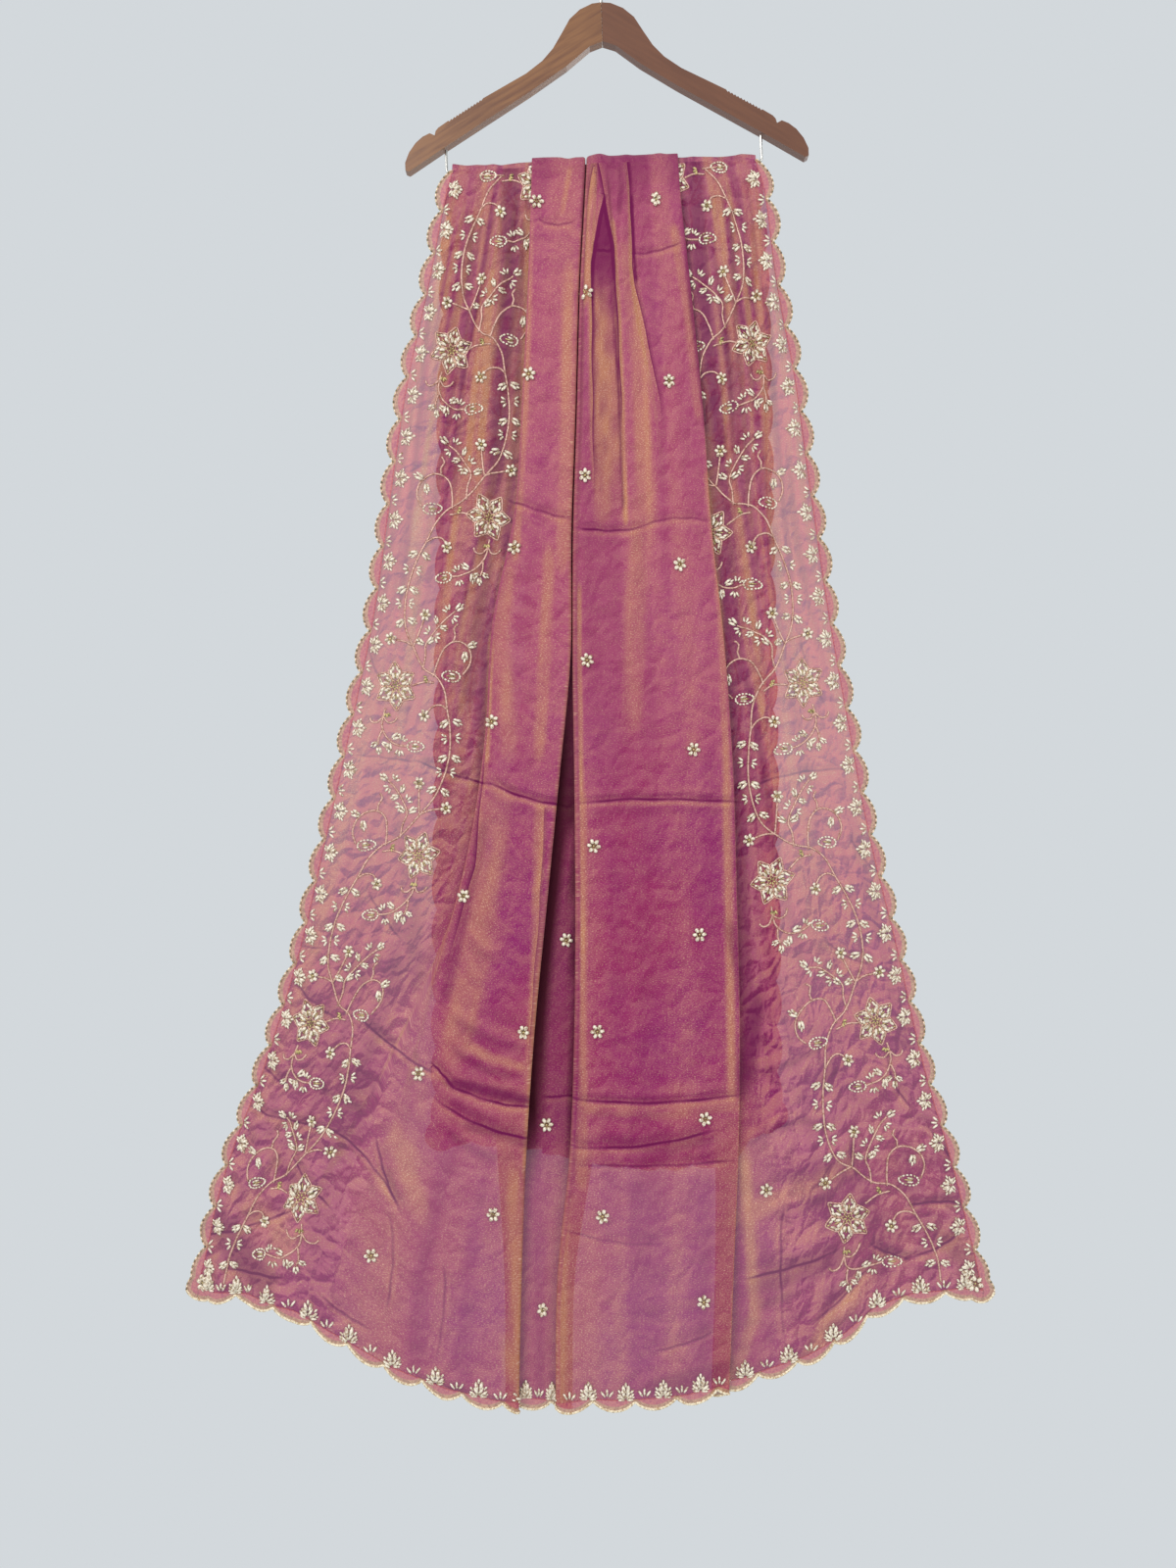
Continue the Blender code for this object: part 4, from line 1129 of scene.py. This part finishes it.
def strokes(origin, angle, length, colour="silver"):
    # Three short stitches that fan out
    for offset in (-0.65, 0.0, 0.65):
        (x, y), = turned(origin, angle + offset, [(length * 0.62, 0.0)])
        bead(x, y, angle + offset, length * 0.78, 2.8, colour)


flowers = {"petals": 6, "bigReach": 26.5, "bigPetalWidth": 18.5, "smallReach": 8.2}


def bigFlower(origin, spin):
    count, wide, reach = flowers["petals"], flowers["bigPetalWidth"], flowers["bigReach"]
    half = ((4.5, 0.0), (9.0, 0.33 * wide), (14.5, 0.46 * wide), (20.0, 0.28 * wide))
    outline = [*half, (reach, 0.0), *((px, -py) for px, py in reversed(half))]
    for petal in range(count):
        angle = spin + 2.0 * math.pi * petal / count
        sew(turned(origin, angle, outline), 1.9)
        for side in (-1, 1):
            laidBeads(origin, angle, (
                (11.0, side * 2.6, side * 0.20, 9.0, 3.7, "silver"),
                (14.8, side * 5.3, side * 0.02, 7.6, 3.3, "silver"),
                (18.8, side * 2.7, -side * 0.42, 7.0, 3.1, "silver"),
            ))
        laidBeads(origin, angle, ((12.0, 0.0, 0.0, 9.0, 1.5, "gold"), (23.0, 0.0, 0.0, 4.0, 1.8, "gold")))
        between = ((7.0, 0.0, 0.0, 5.0, 1.9, "gold"), (12.6, 0.0, 0.0, 3.0, 1.5, "gold"))
        laidBeads(origin, angle + 0.52, between)
    for step in range(count):
        angle = spin + 0.26 + 2.0 * math.pi * step / count
        laidBeads(origin, angle, ((2.9, 0.0, 0.0, 4.2, 2.0, "gold"),))


def smallFlower(origin, spin, reach=None):
    reach = reach or flowers["smallReach"]
    for petal in range(flowers["petals"]):
        angle = spin + 2.0 * math.pi * petal / flowers["petals"]
        laidBeads(origin, angle, ((reach * 0.64, 0.0, 0.0, reach * 0.76, reach * 0.58, "silver"),))
        laidBeads(origin, angle + 0.5, ((reach * 0.36, 0.0, 0.0, reach * 0.36, 1.5, "gold"),))
    bead(origin[0], origin[1], spin, 3.0, 2.8, "gold")


def leafPair(origin, angle, length):
    for side in (-1, 1):
        leaf(turned(origin, angle, [(0.0, side * 1.5)])[0], angle + side * 1.05, 1.12 * length, length * 0.66)


def strokePair(origin, angle):
    for side in (-1, 1):
        strokes(turned(origin, angle, [(0.0, side * 3.0)])[0], angle + side * 1.4, 9.5)


# One run of the border beside its big flower: inward from the edge and down along it, in mm
vine = {
    "repeat": 200.0,
    "middle": 88.0,
    "threadWidth": 2.3,
    "topClear": 8.0, "hemClear": 22.0, "lineTopClear": 1.0, "lineHemClear": 8.0,
    "smallReach": 7.4, "goldStroke": 7.0,
    "flower": (50, 0),
    "stem": ((120, 27), (128, 52), (133, 80), (132, 108), (126, 132), (113, 153), (95, 178), (76, 189),
             (63, 205), (56, 227)),
    "branches": (
        ((98, -4), (84, -5), (70, -1)),
        ((120, 28), (112, 23), (102, 24), (95, 31)),
        ((113, 152), (109, 138), (105, 121)),
        ((113, 152), (124, 147), (136, 145)),
        ((96, 180), (95, 164), (97, 150), (88, 136), (75, 121), (64, 112)),
        ((80, 189), (77, 172), (71, 156), (59, 148), (46, 150), (37, 160), (36, 174), (43, 187)),
        ((60, 148), (59, 140), (62, 133), (58, 127)),
        ((43, 26), (42, 38), (43, 48), (49, 58), (58, 66), (68, 70), (79, 71)),
        ((42, 36), (36, 43), (29, 42), (26, 37)),
        ((42, 36), (49, 43), (56, 42), (59, 37)),
        ((44, 52), (42, 62), (43, 70)),
    ),
    "smallFlowers": ((93, 35), (104, 115), (143, 144)),
    "leafPairs": ((126, 40, 1.45, 12), (133, 82, 1.57, 12), (129, 120, 1.75, 12), (97, 150, -1.5, 11),
                  (83, 129, -2.3, 10), (43, 156, 2.5, 12), (56, 64, 0.6, 11), (44, 66, 1.57, 9)),
    "strokePairs": ((131, 61, 1.5), (133, 101, 1.6), (90, 139, -2.1), (70, 116, -2.4), (70, 70, 0.3)),
    "strokes": ((86, 190, 0.4), (45, 30, 1.5)),
    "leaves": ((79, 71, 0.05, 21, 13), (64, 112, -2.5, 12, 8), (46, 190, -0.1, 22, 13), (44, 70, 1.6, 10, 7)),
}


def borderRun(side, start, flip, last):
    # Every other run is turned about the vine's middle, so that the stem swings from side to side
    def place(point):
        inward = 2 * vine["middle"] - point[0] if flip else point[0]
        return (side * (halfWidth - inward), start + point[1])

    def heading(angle):
        # Angles run from inwards to downwards in the run's own frame
        inwardSign = -side * (-1 if flip else 1)
        return math.atan2(math.sin(angle), inwardSign * math.cos(angle))

    def fits(y):
        return vine["topClear"] < start + y < last - vine["hemClear"]

    def onFall(point):
        return vine["lineTopClear"] < start + point[1] < last - vine["lineHemClear"]

    if fits(vine["flower"][1]):
        bigFlower(place(vine["flower"]), 0.3 + 0.002 * start)
    for line in (vine["stem"], *vine["branches"]):
        kept = [place(point) for point in line if onFall(point)]
        if len(kept) > 1:
            sew(kept, vine["threadWidth"])
    for x, y in vine["smallFlowers"]:
        if fits(y):
            smallFlower(place((x, y)), 0.01 * (x + y), vine["smallReach"])
    for x, y, angle, length in vine["leafPairs"]:
        if fits(y):
            leafPair(place((x, y)), heading(angle), length)
    for x, y, angle in vine["strokePairs"]:
        if fits(y):
            strokePair(place((x, y)), heading(angle))
    for x, y, angle in vine["strokes"]:
        if fits(y):
            strokes(place((x, y)), heading(angle), vine["goldStroke"], "gold")
    for x, y, angle, length, width in vine["leaves"]:
        if fits(y):
            leaf(place((x, y)), heading(angle), length, width)


# How far in from the edge the sprigs sit, and the lean and length of each one's side leaves
sprigs = {
    "side": {"inset": 11.0, "leaf": (12.5, 9.0), "dipInset": 3.0, "dipLength": 11.0,
             "leaves": ((1.05, 11.5), (-1.05, 11.5), (2.1, 9.0), (-2.1, 9.0))},
    "hem": {"inset": 6.0, "rootInset": 2.0, "leaf": (13.8, 9.5), "dipInset": 1.0, "dipLength": 12.5,
            "leaves": ((0.72, 13.0), (-0.72, 13.0), (1.35, 10.0), (-1.35, 10.0))},
    "leafWidth": 0.62, "corner": (9.0, 8.0), "cornerReach": 9.6,
}
field = {"spacing": 117.2, "columns": 6, "lowest": 35.0}


def sideLeaves(root, heading, leaves):
    for lean, length in leaves:
        leaf(root, heading + lean, length, length * sprigs["leafWidth"])


def scallopSprigs(side, fallLength):
    # A bud in each side scallop and three stitches at each dip
    sprig, pitch = sprigs["side"], cloth["sideScallop"]
    inward = math.pi if side > 0 else 0.0
    for number in range(round(fallLength / pitch)):
        centre = (side * (halfWidth - sprig["inset"]), (number + 0.5) * pitch)
        leaf(centre, inward, *sprig["leaf"])
        sideLeaves(centre, inward, sprig["leaves"])
        if 4.0 < number * pitch < fallLength - 4.0:
            strokes((side * (halfWidth - sprig["dipInset"]), number * pitch), inward, sprig["dipLength"])


def hemSprigs(fallLength):
    # A tulip-like bud in each hem scallop and three stitches between
    sprig, pitch = sprigs["hem"], cloth["hemScallop"]
    upward = -math.pi / 2
    for number in range(round(cloth["width"] / pitch)):
        middle = -halfWidth + (number + 0.5) * pitch
        leaf((middle, fallLength - sprig["inset"]), upward, *sprig["leaf"])
        sideLeaves((middle, fallLength - sprig["rootInset"]), upward, sprig["leaves"])
        if number:
            dip = (-halfWidth + number * pitch, fallLength - sprig["dipInset"])
            strokes(dip, upward, sprig["dipLength"])
    insetX, insetZ = sprigs["corner"]
    for side in (-1, 1):
        smallFlower((side * (halfWidth - insetX), fallLength - insetZ), 0.3, sprigs["cornerReach"])


def fieldFlowers(fallLength, starts):
    # Small flowers over the plain middle, every other column half a row lower
    for number in range(field["columns"]):
        across = field["spacing"] * (number - (field["columns"] - 1) / 2)
        down = starts[number % 2]
        while down < fallLength - field["lowest"]:
            smallFlower((across, down), 0.02 * down + across)
            down += vine["repeat"]


def embroider(grid, firstFlower, runs, fieldStarts):
    stitching["threads"].clear()
    stitching["beads"].clear()
    stitching["grid"] = grid
    for side in (-1, 1):
        for number in range(-1, runs):
            borderRun(side, firstFlower + vine["repeat"] * number, number % 2 == 0, grid["fall"])
        scallopSprigs(side, grid["fall"])
    hemSprigs(grid["fall"])
    fieldFlowers(grid["fall"], fieldStarts)


def beadShape():
    # A bead of twelve corners, one unit long, wide and high
    golden = (1.0 + math.sqrt(5.0)) / 2.0
    corners = []
    for a in (-1, 1):
        for b in (-golden, golden):
            corners += [(0, a, b), (a, b, 0), (b, 0, a)]
    corners = np.array(corners, dtype=float)
    corners /= np.linalg.norm(corners[0])
    faces = []
    for i in range(12):
        for j in range(i + 1, 12):
            for k in range(j + 1, 12):
                a, b, c = corners[i], corners[j], corners[k]
                if max(np.linalg.norm(a - b), np.linalg.norm(b - c), np.linalg.norm(a - c)) < 1.1:
                    outward = np.dot(np.cross(b - a, c - a), a) > 0
                    faces.append((i, j, k) if outward else (i, k, j))
    return corners * 0.5, np.array(faces)


def beadCloud(centre, along, facing, length, width, height):
    # Many beads in one mesh, each laid along its own line and facing outwards
    across = np.cross(facing, along)
    corners, faces = beadShape()
    vertices = (
        centre[:, None, :]
        + along[:, None, :] * (corners[None, :, :1] * length[:, None, None])
        + across[:, None, :] * (corners[None, :, 1:2] * width[:, None, None])
        + facing[:, None, :] * (corners[None, :, 2:] * height[:, None, None])
    )
    allFaces = faces[None] + (np.arange(len(centre)) * len(corners))[:, None, None]
    return vertices.reshape(-1, 3), allFaces.reshape(-1, 3)


def layBeads(name, colour, grid, material):
    # All beads of one colour, raised until they sit on the cloth
    chosen = [item[:5] for item in stitching["beads"] if item[5] == colour]
    flat, down, angle, length, width = np.array(chosen).T
    points, normals = onCloth(grid, flat, down)
    along = onCloth(grid, flat + np.cos(angle), down + np.sin(angle))[0] - points
    along -= normals * np.sum(along * normals, axis=-1, keepdims=True)
    missing = np.linalg.norm(along, axis=-1) < 1e-6
    along[missing] = (0.0, 0.0, 1.0)
    along /= np.linalg.norm(along, axis=-1, keepdims=True)
    length, width = length * mm, width * mm
    height = width * 0.75
    centre = points + normals * (height * 0.45)[:, None]
    vertices, faces = beadCloud(centre, along, normals, length, width, height)
    print("  ", name, len(chosen), "beads")
    return meshFrom(name, vertices, faces, material)


def layThreads(name, grid, material):
    # Each stitched line is a low four-sided cord on the cloth
    vertices, faces = [], []
    start = 0
    for line, width in stitching["threads"]:
        points, normals = onCloth(grid, line[:, 0], line[:, 1])
        along = np.gradient(points, axis=0)
        along /= np.maximum(np.linalg.norm(along, axis=-1, keepdims=True), 1e-9)
        across = np.cross(normals, along)
        half = 0.5 * width * mm
        rise = 0.7 * half
        ring = [points + across * half + normals * rise * 0.5, points + normals * rise * 1.8,
                points - across * half + normals * rise * 0.5, points - normals * rise * 0.1]
        vertices.append(np.stack(ring, axis=1).reshape(-1, 3))
        count = len(points)
        for corner in range(4):
            low = start + np.arange(count - 1) * 4 + corner
            high = start + np.arange(count - 1) * 4 + (corner + 1) % 4
            faces.append(np.stack([low, high, high + 4, low + 4], axis=-1))
        end = start + (count - 1) * 4
        faces.append(np.array([[start + 3, start + 2, start + 1, start], [end, end + 1, end + 2, end + 3]]))
        start += count * 4
    print("  ", name, len(stitching["threads"]), "stitched lines")
    return meshFrom(name, np.vstack(vertices), np.vstack(faces), material)


beadLooks = {name: beadMaterial(name) for name in beadColours}
flatLookup(frontGrid)
flatLookup(backGrid)
# Where each fall's first big flower lies, how many border runs it takes, and where its field starts
for name, grid, firstFlower, runs, fieldStarts in (
    ("front", frontGrid, 20.0, 7, (42, 142)),
    ("back", backGrid, 90.0, 5, (158, 58)),
):
    print("stitching the", name)
    embroider(grid, firstFlower, runs, fieldStarts)
    layThreads(name + "Vine", grid, beadLooks["vineThread"])
    layBeads(name + "SilverBeads", "silver", grid, beadLooks["silverBeads"])
    layBeads(name + "GoldBeads", "gold", grid, beadLooks["goldBeads"])


# The scalloped edge: a tan strip past the sewn line, a cord on its rim and beads along the cord
edging = {
    "step": 2.2,
    "overlap": 1.5,
    "lift": 0.5,
    "cordWidth": 1.6,
    "beadStep": 3.2,
    "beadLength": 3.0,
    "beadWidth": 2.4,
    "hemCordWidth": 2.9,
    "lobeInset": 4.0,
    "lobeRadius": 16.5,
    "tanWidth": 4.2,
    "tanFade": 1.2,
    "backDepth": 0.6,
    "hemBeadSize": 1.3,
    "beadLift": 0.4,
    "stripColumns": 8,
    "cordSides": 5,
    "cornerSteps": 12,
    "tanDull": (0.34, 0.14, 0.09, 1.0), "tanBright": (0.60, 0.33, 0.19, 1.0),
    "pinkDull": (0.42, 0.055, 0.115, 1.0), "pinkBright": (0.58, 0.15, 0.145, 1.0),
    "roughness": 0.5, "cover": 0.86,
}


def lobeReach(side, below):
    # How far the corner's round lobe stands out along a way that points out by these shares
    inset, radius = edging["lobeInset"], edging["lobeRadius"]
    lean = inset * (side + below)
    return -lean + math.sqrt(lean**2 + radius**2 - 2.0 * inset**2)


def lobeBeside(distance):
    # How far the lobe stands out at a distance from the corner along the edge
    inset, radius = edging["lobeInset"], edging["lobeRadius"]
    return math.sqrt(max(0.0, radius**2 - (distance - inset) ** 2)) - inset


def cornerFan(route, corner, facing, first, last):
    # The lobe round the cloth's corner
    for step in range(edging["cornerSteps"] + 1):
        angle = 0.5 * math.pi * step / edging["cornerSteps"]
        way = first * math.cos(angle) + last * math.sin(angle)
        route.append((corner, facing, way, lobeReach(math.cos(angle), math.sin(angle))))


def edgeRoute(grid, part):
    # Points on the sewn line, the cloth's facing there, the way outwards and how far the edge stands out
    outwards = {"Left": (-1.0, 0.0, -0.1), "Right": (1.0, 0.0, -0.1), "Hem": (0.0, 0.0, -1.0)}
    outwards = {name: np.array(way) for name, way in outwards.items()}
    lines = {"Left": np.s_[:, 0], "Right": np.s_[:, -1], "Hem": np.s_[-1]}
    points, normals = grid["points"][lines[part]], grid["normals"][lines[part]]
    lengths = np.concatenate([[0.0], np.cumsum(np.linalg.norm(np.diff(points, axis=0), axis=1))])
    pitch = cloth["hemScallop"] if part == "Hem" else cloth["sideScallop"]
    flatLength = cloth["width"] if part == "Hem" else grid["fall"]
    route = []
    if part == "Hem":
        cornerFan(route, points[0], normals[0], outwards["Left"], outwards["Hem"])
    for wanted in np.append(np.arange(0.0, lengths[-1], edging["step"] * mm), lengths[-1]):
        base = np.array([np.interp(wanted, lengths, points[:, axis]) for axis in range(3)])
        facing = np.array([np.interp(wanted, lengths, normals[:, axis]) for axis in range(3)])
        reach = scallopReach(wanted / lengths[-1] * flatLength, flatLength / round(flatLength / pitch))
        reach *= edging["backDepth"] if grid["side"] > 0 else 1.0
        reach = max(reach, lobeBeside((lengths[-1] - wanted) / mm))
        if part == "Hem":
            reach = max(reach, lobeBeside(wanted / mm))
        route.append((base, facing, outwards[part], reach))
    if part == "Hem":
        cornerFan(route, points[-1], normals[-1], outwards["Hem"], outwards["Right"])
    bases, facings, ways, reaches = [np.array(values, dtype=float) for values in zip(*route)]
    ways /= np.linalg.norm(ways, axis=-1, keepdims=True)
    facings /= np.linalg.norm(facings, axis=-1, keepdims=True)
    return bases, facings, ways, reaches


def unitLength(values):
    return values / np.maximum(np.linalg.norm(values, axis=-1, keepdims=True), 1e-9)


def edgeStrip(name, bases, facings, ways, reaches, rim):
    # The strip from just inside the sewn line out to the rim
    lift = facings * (edging["lift"] * mm)
    columns = edging["stripColumns"]
    inner = bases - ways * edging["overlap"] * mm + lift
    strip = np.stack([mix(inner, rim, step / (columns - 1)) for step in range(columns)], axis=1)
    index = np.arange(strip.shape[0] * columns).reshape(-1, columns)
    corners = [index[:-1, :-1], index[1:, :-1], index[1:, 1:], index[:-1, 1:]]
    quads = np.stack(corners, axis=-1).reshape(-1, 4)
    band = meshFrom(name, strip, quads, tanOrganza)
    fromRim = (reaches[:, None] + edging["overlap"]) * (1.0 - np.arange(columns) / (columns - 1))
    band.data.attributes.new("fromRim", "FLOAT", "POINT").data.foreach_set("value", fromRim.reshape(-1))
    return band


def edgeCord(name, rim, along, facings, width, material):
    across = np.cross(facings, along)
    sides, radius = edging["cordSides"], 0.5 * width * mm
    ring = [rim + radius * (math.cos(turn) * across + math.sin(turn) * facings)
            for turn in np.linspace(0, 2 * np.pi, sides, endpoint=False)]
    first = (np.arange(len(rim) - 1) * sides)[:, None]
    low = first + np.arange(sides)
    high = first + (np.arange(sides) + 1) % sides
    faces = np.stack([low, high, high + sides, low + sides], axis=-1).reshape(-1, 4)
    return meshFrom(name, np.stack(ring, axis=1), faces, material)


def edgeBeads(name, rim, along, facings, size, kinds):
    # Beads end to end on the cord, the kinds taking turns
    lengths = np.concatenate([[0.0], np.cumsum(np.linalg.norm(np.diff(rim, axis=0), axis=1))])
    places = np.arange(0.5 * edging["beadStep"] * mm, lengths[-1], edging["beadStep"] * size * mm)

    def at(values):
        return np.stack([np.interp(places, lengths, values[:, axis]) for axis in range(3)], axis=-1)

    centre, way, facing = at(rim), unitLength(at(along)), unitLength(at(facings))
    pieces = []
    for start, (kind, look) in enumerate(kinds):
        pick = slice(start, None, len(kinds))
        long = np.full(len(centre[pick]), edging["beadLength"] * size * mm)
        wide = np.full(len(centre[pick]), edging["beadWidth"] * size * mm)
        raised = centre[pick] + facing[pick] * edging["beadLift"] * mm
        vertices, faces = beadCloud(raised, way[pick], facing[pick], long, wide, wide)
        pieces.append(meshFrom(name + kind + "Beads", vertices, faces, beadLooks[look]))
    return pieces


def buildEdging(name, grid, part, node):
    bases, facings, ways, reaches = edgeRoute(grid, part)
    rim = bases + ways * (reaches[:, None] * mm)
    along = unitLength(np.gradient(rim, axis=0))
    name += part
    hem = part == "Hem"
    band = edgeStrip(name + "Strip", bases, facings, ways, reaches, rim)
    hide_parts(node)
    width = edging["hemCordWidth" if hem else "cordWidth"]
    cordLook = beadLooks["paleGoldBeads" if hem else "vineThread"]
    cord = edgeCord(name + "Cord", rim, along, facings, width, cordLook)
    kinds = (("Pale", "paleGoldBeads"), ("Dark", "paleGoldBeads" if hem else "darkGoldBeads"))
    size = edging["hemBeadSize"] if hem else 1.0
    return [band, cord, *edgeBeads(name, rim, along, facings, size, kinds)]


def tanMaterial():
    # Organza that turns to a close tan satin stitch beside the rim
    material, nodes, links, shader = newMaterial("tanStrip")
    share = ramp(nodes, links, speckle(nodes, links, 450.0), ((0.35, 0.0), (0.65, 1.0)))
    tan = mixColour(nodes, links, share, edging["tanDull"], edging["tanBright"])
    pink = mixColour(nodes, links, share, edging["pinkDull"], edging["pinkBright"])
    fromRim = nodes.new("ShaderNodeAttribute")
    fromRim.attribute_name = "fromRim"
    near = nodes.new("ShaderNodeMapRange")
    links.new(fromRim.outputs["Fac"], near.inputs["Value"])
    near.inputs["From Min"].default_value = edging["tanWidth"] + edging["tanFade"]
    near.inputs["From Max"].default_value = edging["tanWidth"]
    links.new(mixColour(nodes, links, near.outputs["Result"], pink, tan), shader.inputs["Base Color"])
    shader.inputs["Roughness"].default_value = edging["roughness"]
    shader.inputs["Alpha"].default_value = edging["cover"]
    return material


print("binding the scalloped edges")
tanOrganza = tanMaterial()
edgePieces = {}
for name, grid in (("front", frontGrid), ("back", backGrid)):
    edgePieces[name] = []
    for part in ("Left", "Hem", "Right"):
        edgePieces[name] += buildEdging(name, grid, part, "edging_" + name + "_" + part.lower())


wood = {
    "dark": (0.135, 0.048, 0.023, 1.0),
    "light": (0.255, 0.105, 0.050, 1.0),
    "roughness": 0.36,
    "armSlope": math.radians(31.0),
    # The left arm is tinted lighter as painted light, the right darker as painted shade
    "leftLitTint": (1.0, 1.04, 0.82), "rightShadedTint": (0.66, 0.58, 0.56),
    "grain": (12.0, 140.0, 140.0),
    "coat": 0.3, "coatRoughness": 0.2,
    "bumpStrength": 0.15, "bumpDepth": 0.0002,
}
steel = {"colour": (0.62, 0.60, 0.56, 1.0), "shade": 0.62, "roughness": 0.25, "metallic": 1.0, "grain": 300.0}


def woodMaterial(name, lightAndShadeTint, slope):
    # Stained wood whose grain runs down each arm, the lighter grain colour tinted per arm as painted light
    # and shade
    material, nodes, links, shader = newMaterial(name)
    place = nodes.new("ShaderNodeTexCoord")
    lean = nodes.new("ShaderNodeMapping")
    lean.inputs["Rotation"].default_value = (0.0, slope, 0.0)
    links.new(place.outputs["Object"], lean.inputs["Vector"])
    stretch = nodes.new("ShaderNodeMapping")
    stretch.inputs["Scale"].default_value = wood["grain"]
    links.new(lean.outputs["Vector"], stretch.inputs["Vector"])
    grain = nodes.new("ShaderNodeTexNoise")
    grain.inputs["Scale"].default_value = 1.6
    grain.inputs["Detail"].default_value = 6.0
    grain.inputs["Distortion"].default_value = 0.4
    links.new(stretch.outputs["Vector"], grain.inputs["Vector"])
    share = ramp(nodes, links, grain.outputs["Fac"], ((0.25, 0.0), (0.62, 1.0)))
    light = tuple(value * factor for value, factor in zip(wood["light"][:3], lightAndShadeTint)) + (1.0,)
    links.new(mixColour(nodes, links, share, wood["dark"], light), shader.inputs["Base Color"])
    shader.inputs["Roughness"].default_value = wood["roughness"]
    shader.inputs["Coat Weight"].default_value = wood["coat"]
    shader.inputs["Coat Roughness"].default_value = wood["coatRoughness"]
    addBump(nodes, links, shader, grain.outputs["Fac"], wood["bumpStrength"], wood["bumpDepth"])
    return material


def steelMaterial():
    material, nodes, links, shader = newMaterial("steelWire")
    share = ramp(nodes, links, speckle(nodes, links, steel["grain"]), ((0.35, 0.0), (0.65, 1.0)))
    darker = tuple(steel["shade"] * value for value in steel["colour"][:3]) + (1.0,)
    links.new(mixColour(nodes, links, share, darker, steel["colour"]), shader.inputs["Base Color"])
    shader.inputs["Roughness"].default_value = steel["roughness"]
    shader.inputs["Metallic"].default_value = steel["metallic"]
    return material


def finish(node, material):
    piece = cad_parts[node]
    piece.data.materials.clear()
    piece.data.materials.append(material)


print("finishing the hanger")
for node, lightAndShadeTint, slope in (
    ("hanger_wood_left", wood["leftLitTint"], wood["armSlope"]),
    ("hanger_wood_right", wood["rightShadedTint"], -wood["armSlope"]),
):
    finish(node, woodMaterial(node + "FinishAndPaintedLight", lightAndShadeTint, slope))
wire = steelMaterial()
finish("hanger_hook", wire)
finish("hanger_wire_bar", wire)

studio = {
    "floorHeight": -2.6, "floorHalf": 1.6, "floorColour": (0.72, 0.74, 0.75, 1.0), "floorRoughness": 0.8,
    "wall": (0.651, 0.687, 0.716, 1.0), "wallStrength": 1.0,
    "cameraDistance": 1.35, "clothFront": 0.012, "lens": 28.8, "sensor": 36.0, "frameMiddle": (-12.1, -903.0),
}
# Name, place, aim, size and power of each light
lights = (
    ("keyLight", (-1.6, -2.4, 0.6), (0.0, 0.0, -0.8), 1.8, 42.0),
    ("fillLight", (2.0, -2.0, -0.6), (0.0, 0.0, -0.9), 2.2, 16.0),
    ("backLight", (0.5, 2.4, 0.4), (0.0, 0.0, -0.8), 2.0, 22.0),
)


def buildStudio():
    print("setting the floor, light and camera")
    bpy.ops.mesh.primitive_plane_add(size=1.0)
    floor = bpy.context.object
    floor.name = "floor"
    floor.scale = (2 * studio["floorHalf"], 2 * studio["floorHalf"], 1.0)
    floor.location = (0.0, -0.5, studio["floorHeight"])
    material, _, _, shader = newMaterial("paleFloor")
    shader.inputs["Base Color"].default_value = studio["floorColour"]
    shader.inputs["Roughness"].default_value = studio["floorRoughness"]
    floor.data.materials.append(material)
    world = bpy.data.worlds.new("paleStudio")
    world.use_nodes = True
    background = world.node_tree.nodes["Background"]
    background.inputs["Color"].default_value = studio["wall"]
    background.inputs["Strength"].default_value = studio["wallStrength"]
    bpy.context.scene.world = world
    for name, place, aim, size, power in lights:
        light = bpy.data.lights.new(name, "AREA")
        light.size = size
        light.energy = power
        lamp = bpy.data.objects.new(name, light)
        bpy.context.scene.collection.objects.link(lamp)
        lamp.location = place
        direction = np.array(aim) - np.array(place)
        lamp.rotation_euler = (
            math.atan2(math.hypot(direction[0], direction[1]), -direction[2]), 0.0,
            math.atan2(direction[1], direction[0]) - math.pi / 2,
        )
    data = bpy.data.cameras.new("photoCamera")
    data.sensor_fit = "VERTICAL"
    data.sensor_height = studio["sensor"]
    data.lens = studio["lens"]
    camera = bpy.data.objects.new("photoCamera", data)
    bpy.context.scene.collection.objects.link(camera)
    x, z = studio["frameMiddle"]
    camera.location = (x * mm, -studio["cameraDistance"] - studio["clothFront"], z * mm)
    camera.rotation_euler = (math.pi / 2, 0.0, 0.0)
    bpy.context.scene.camera = camera
    bpy.context.scene.view_settings.view_transform = "Standard"


buildStudio()
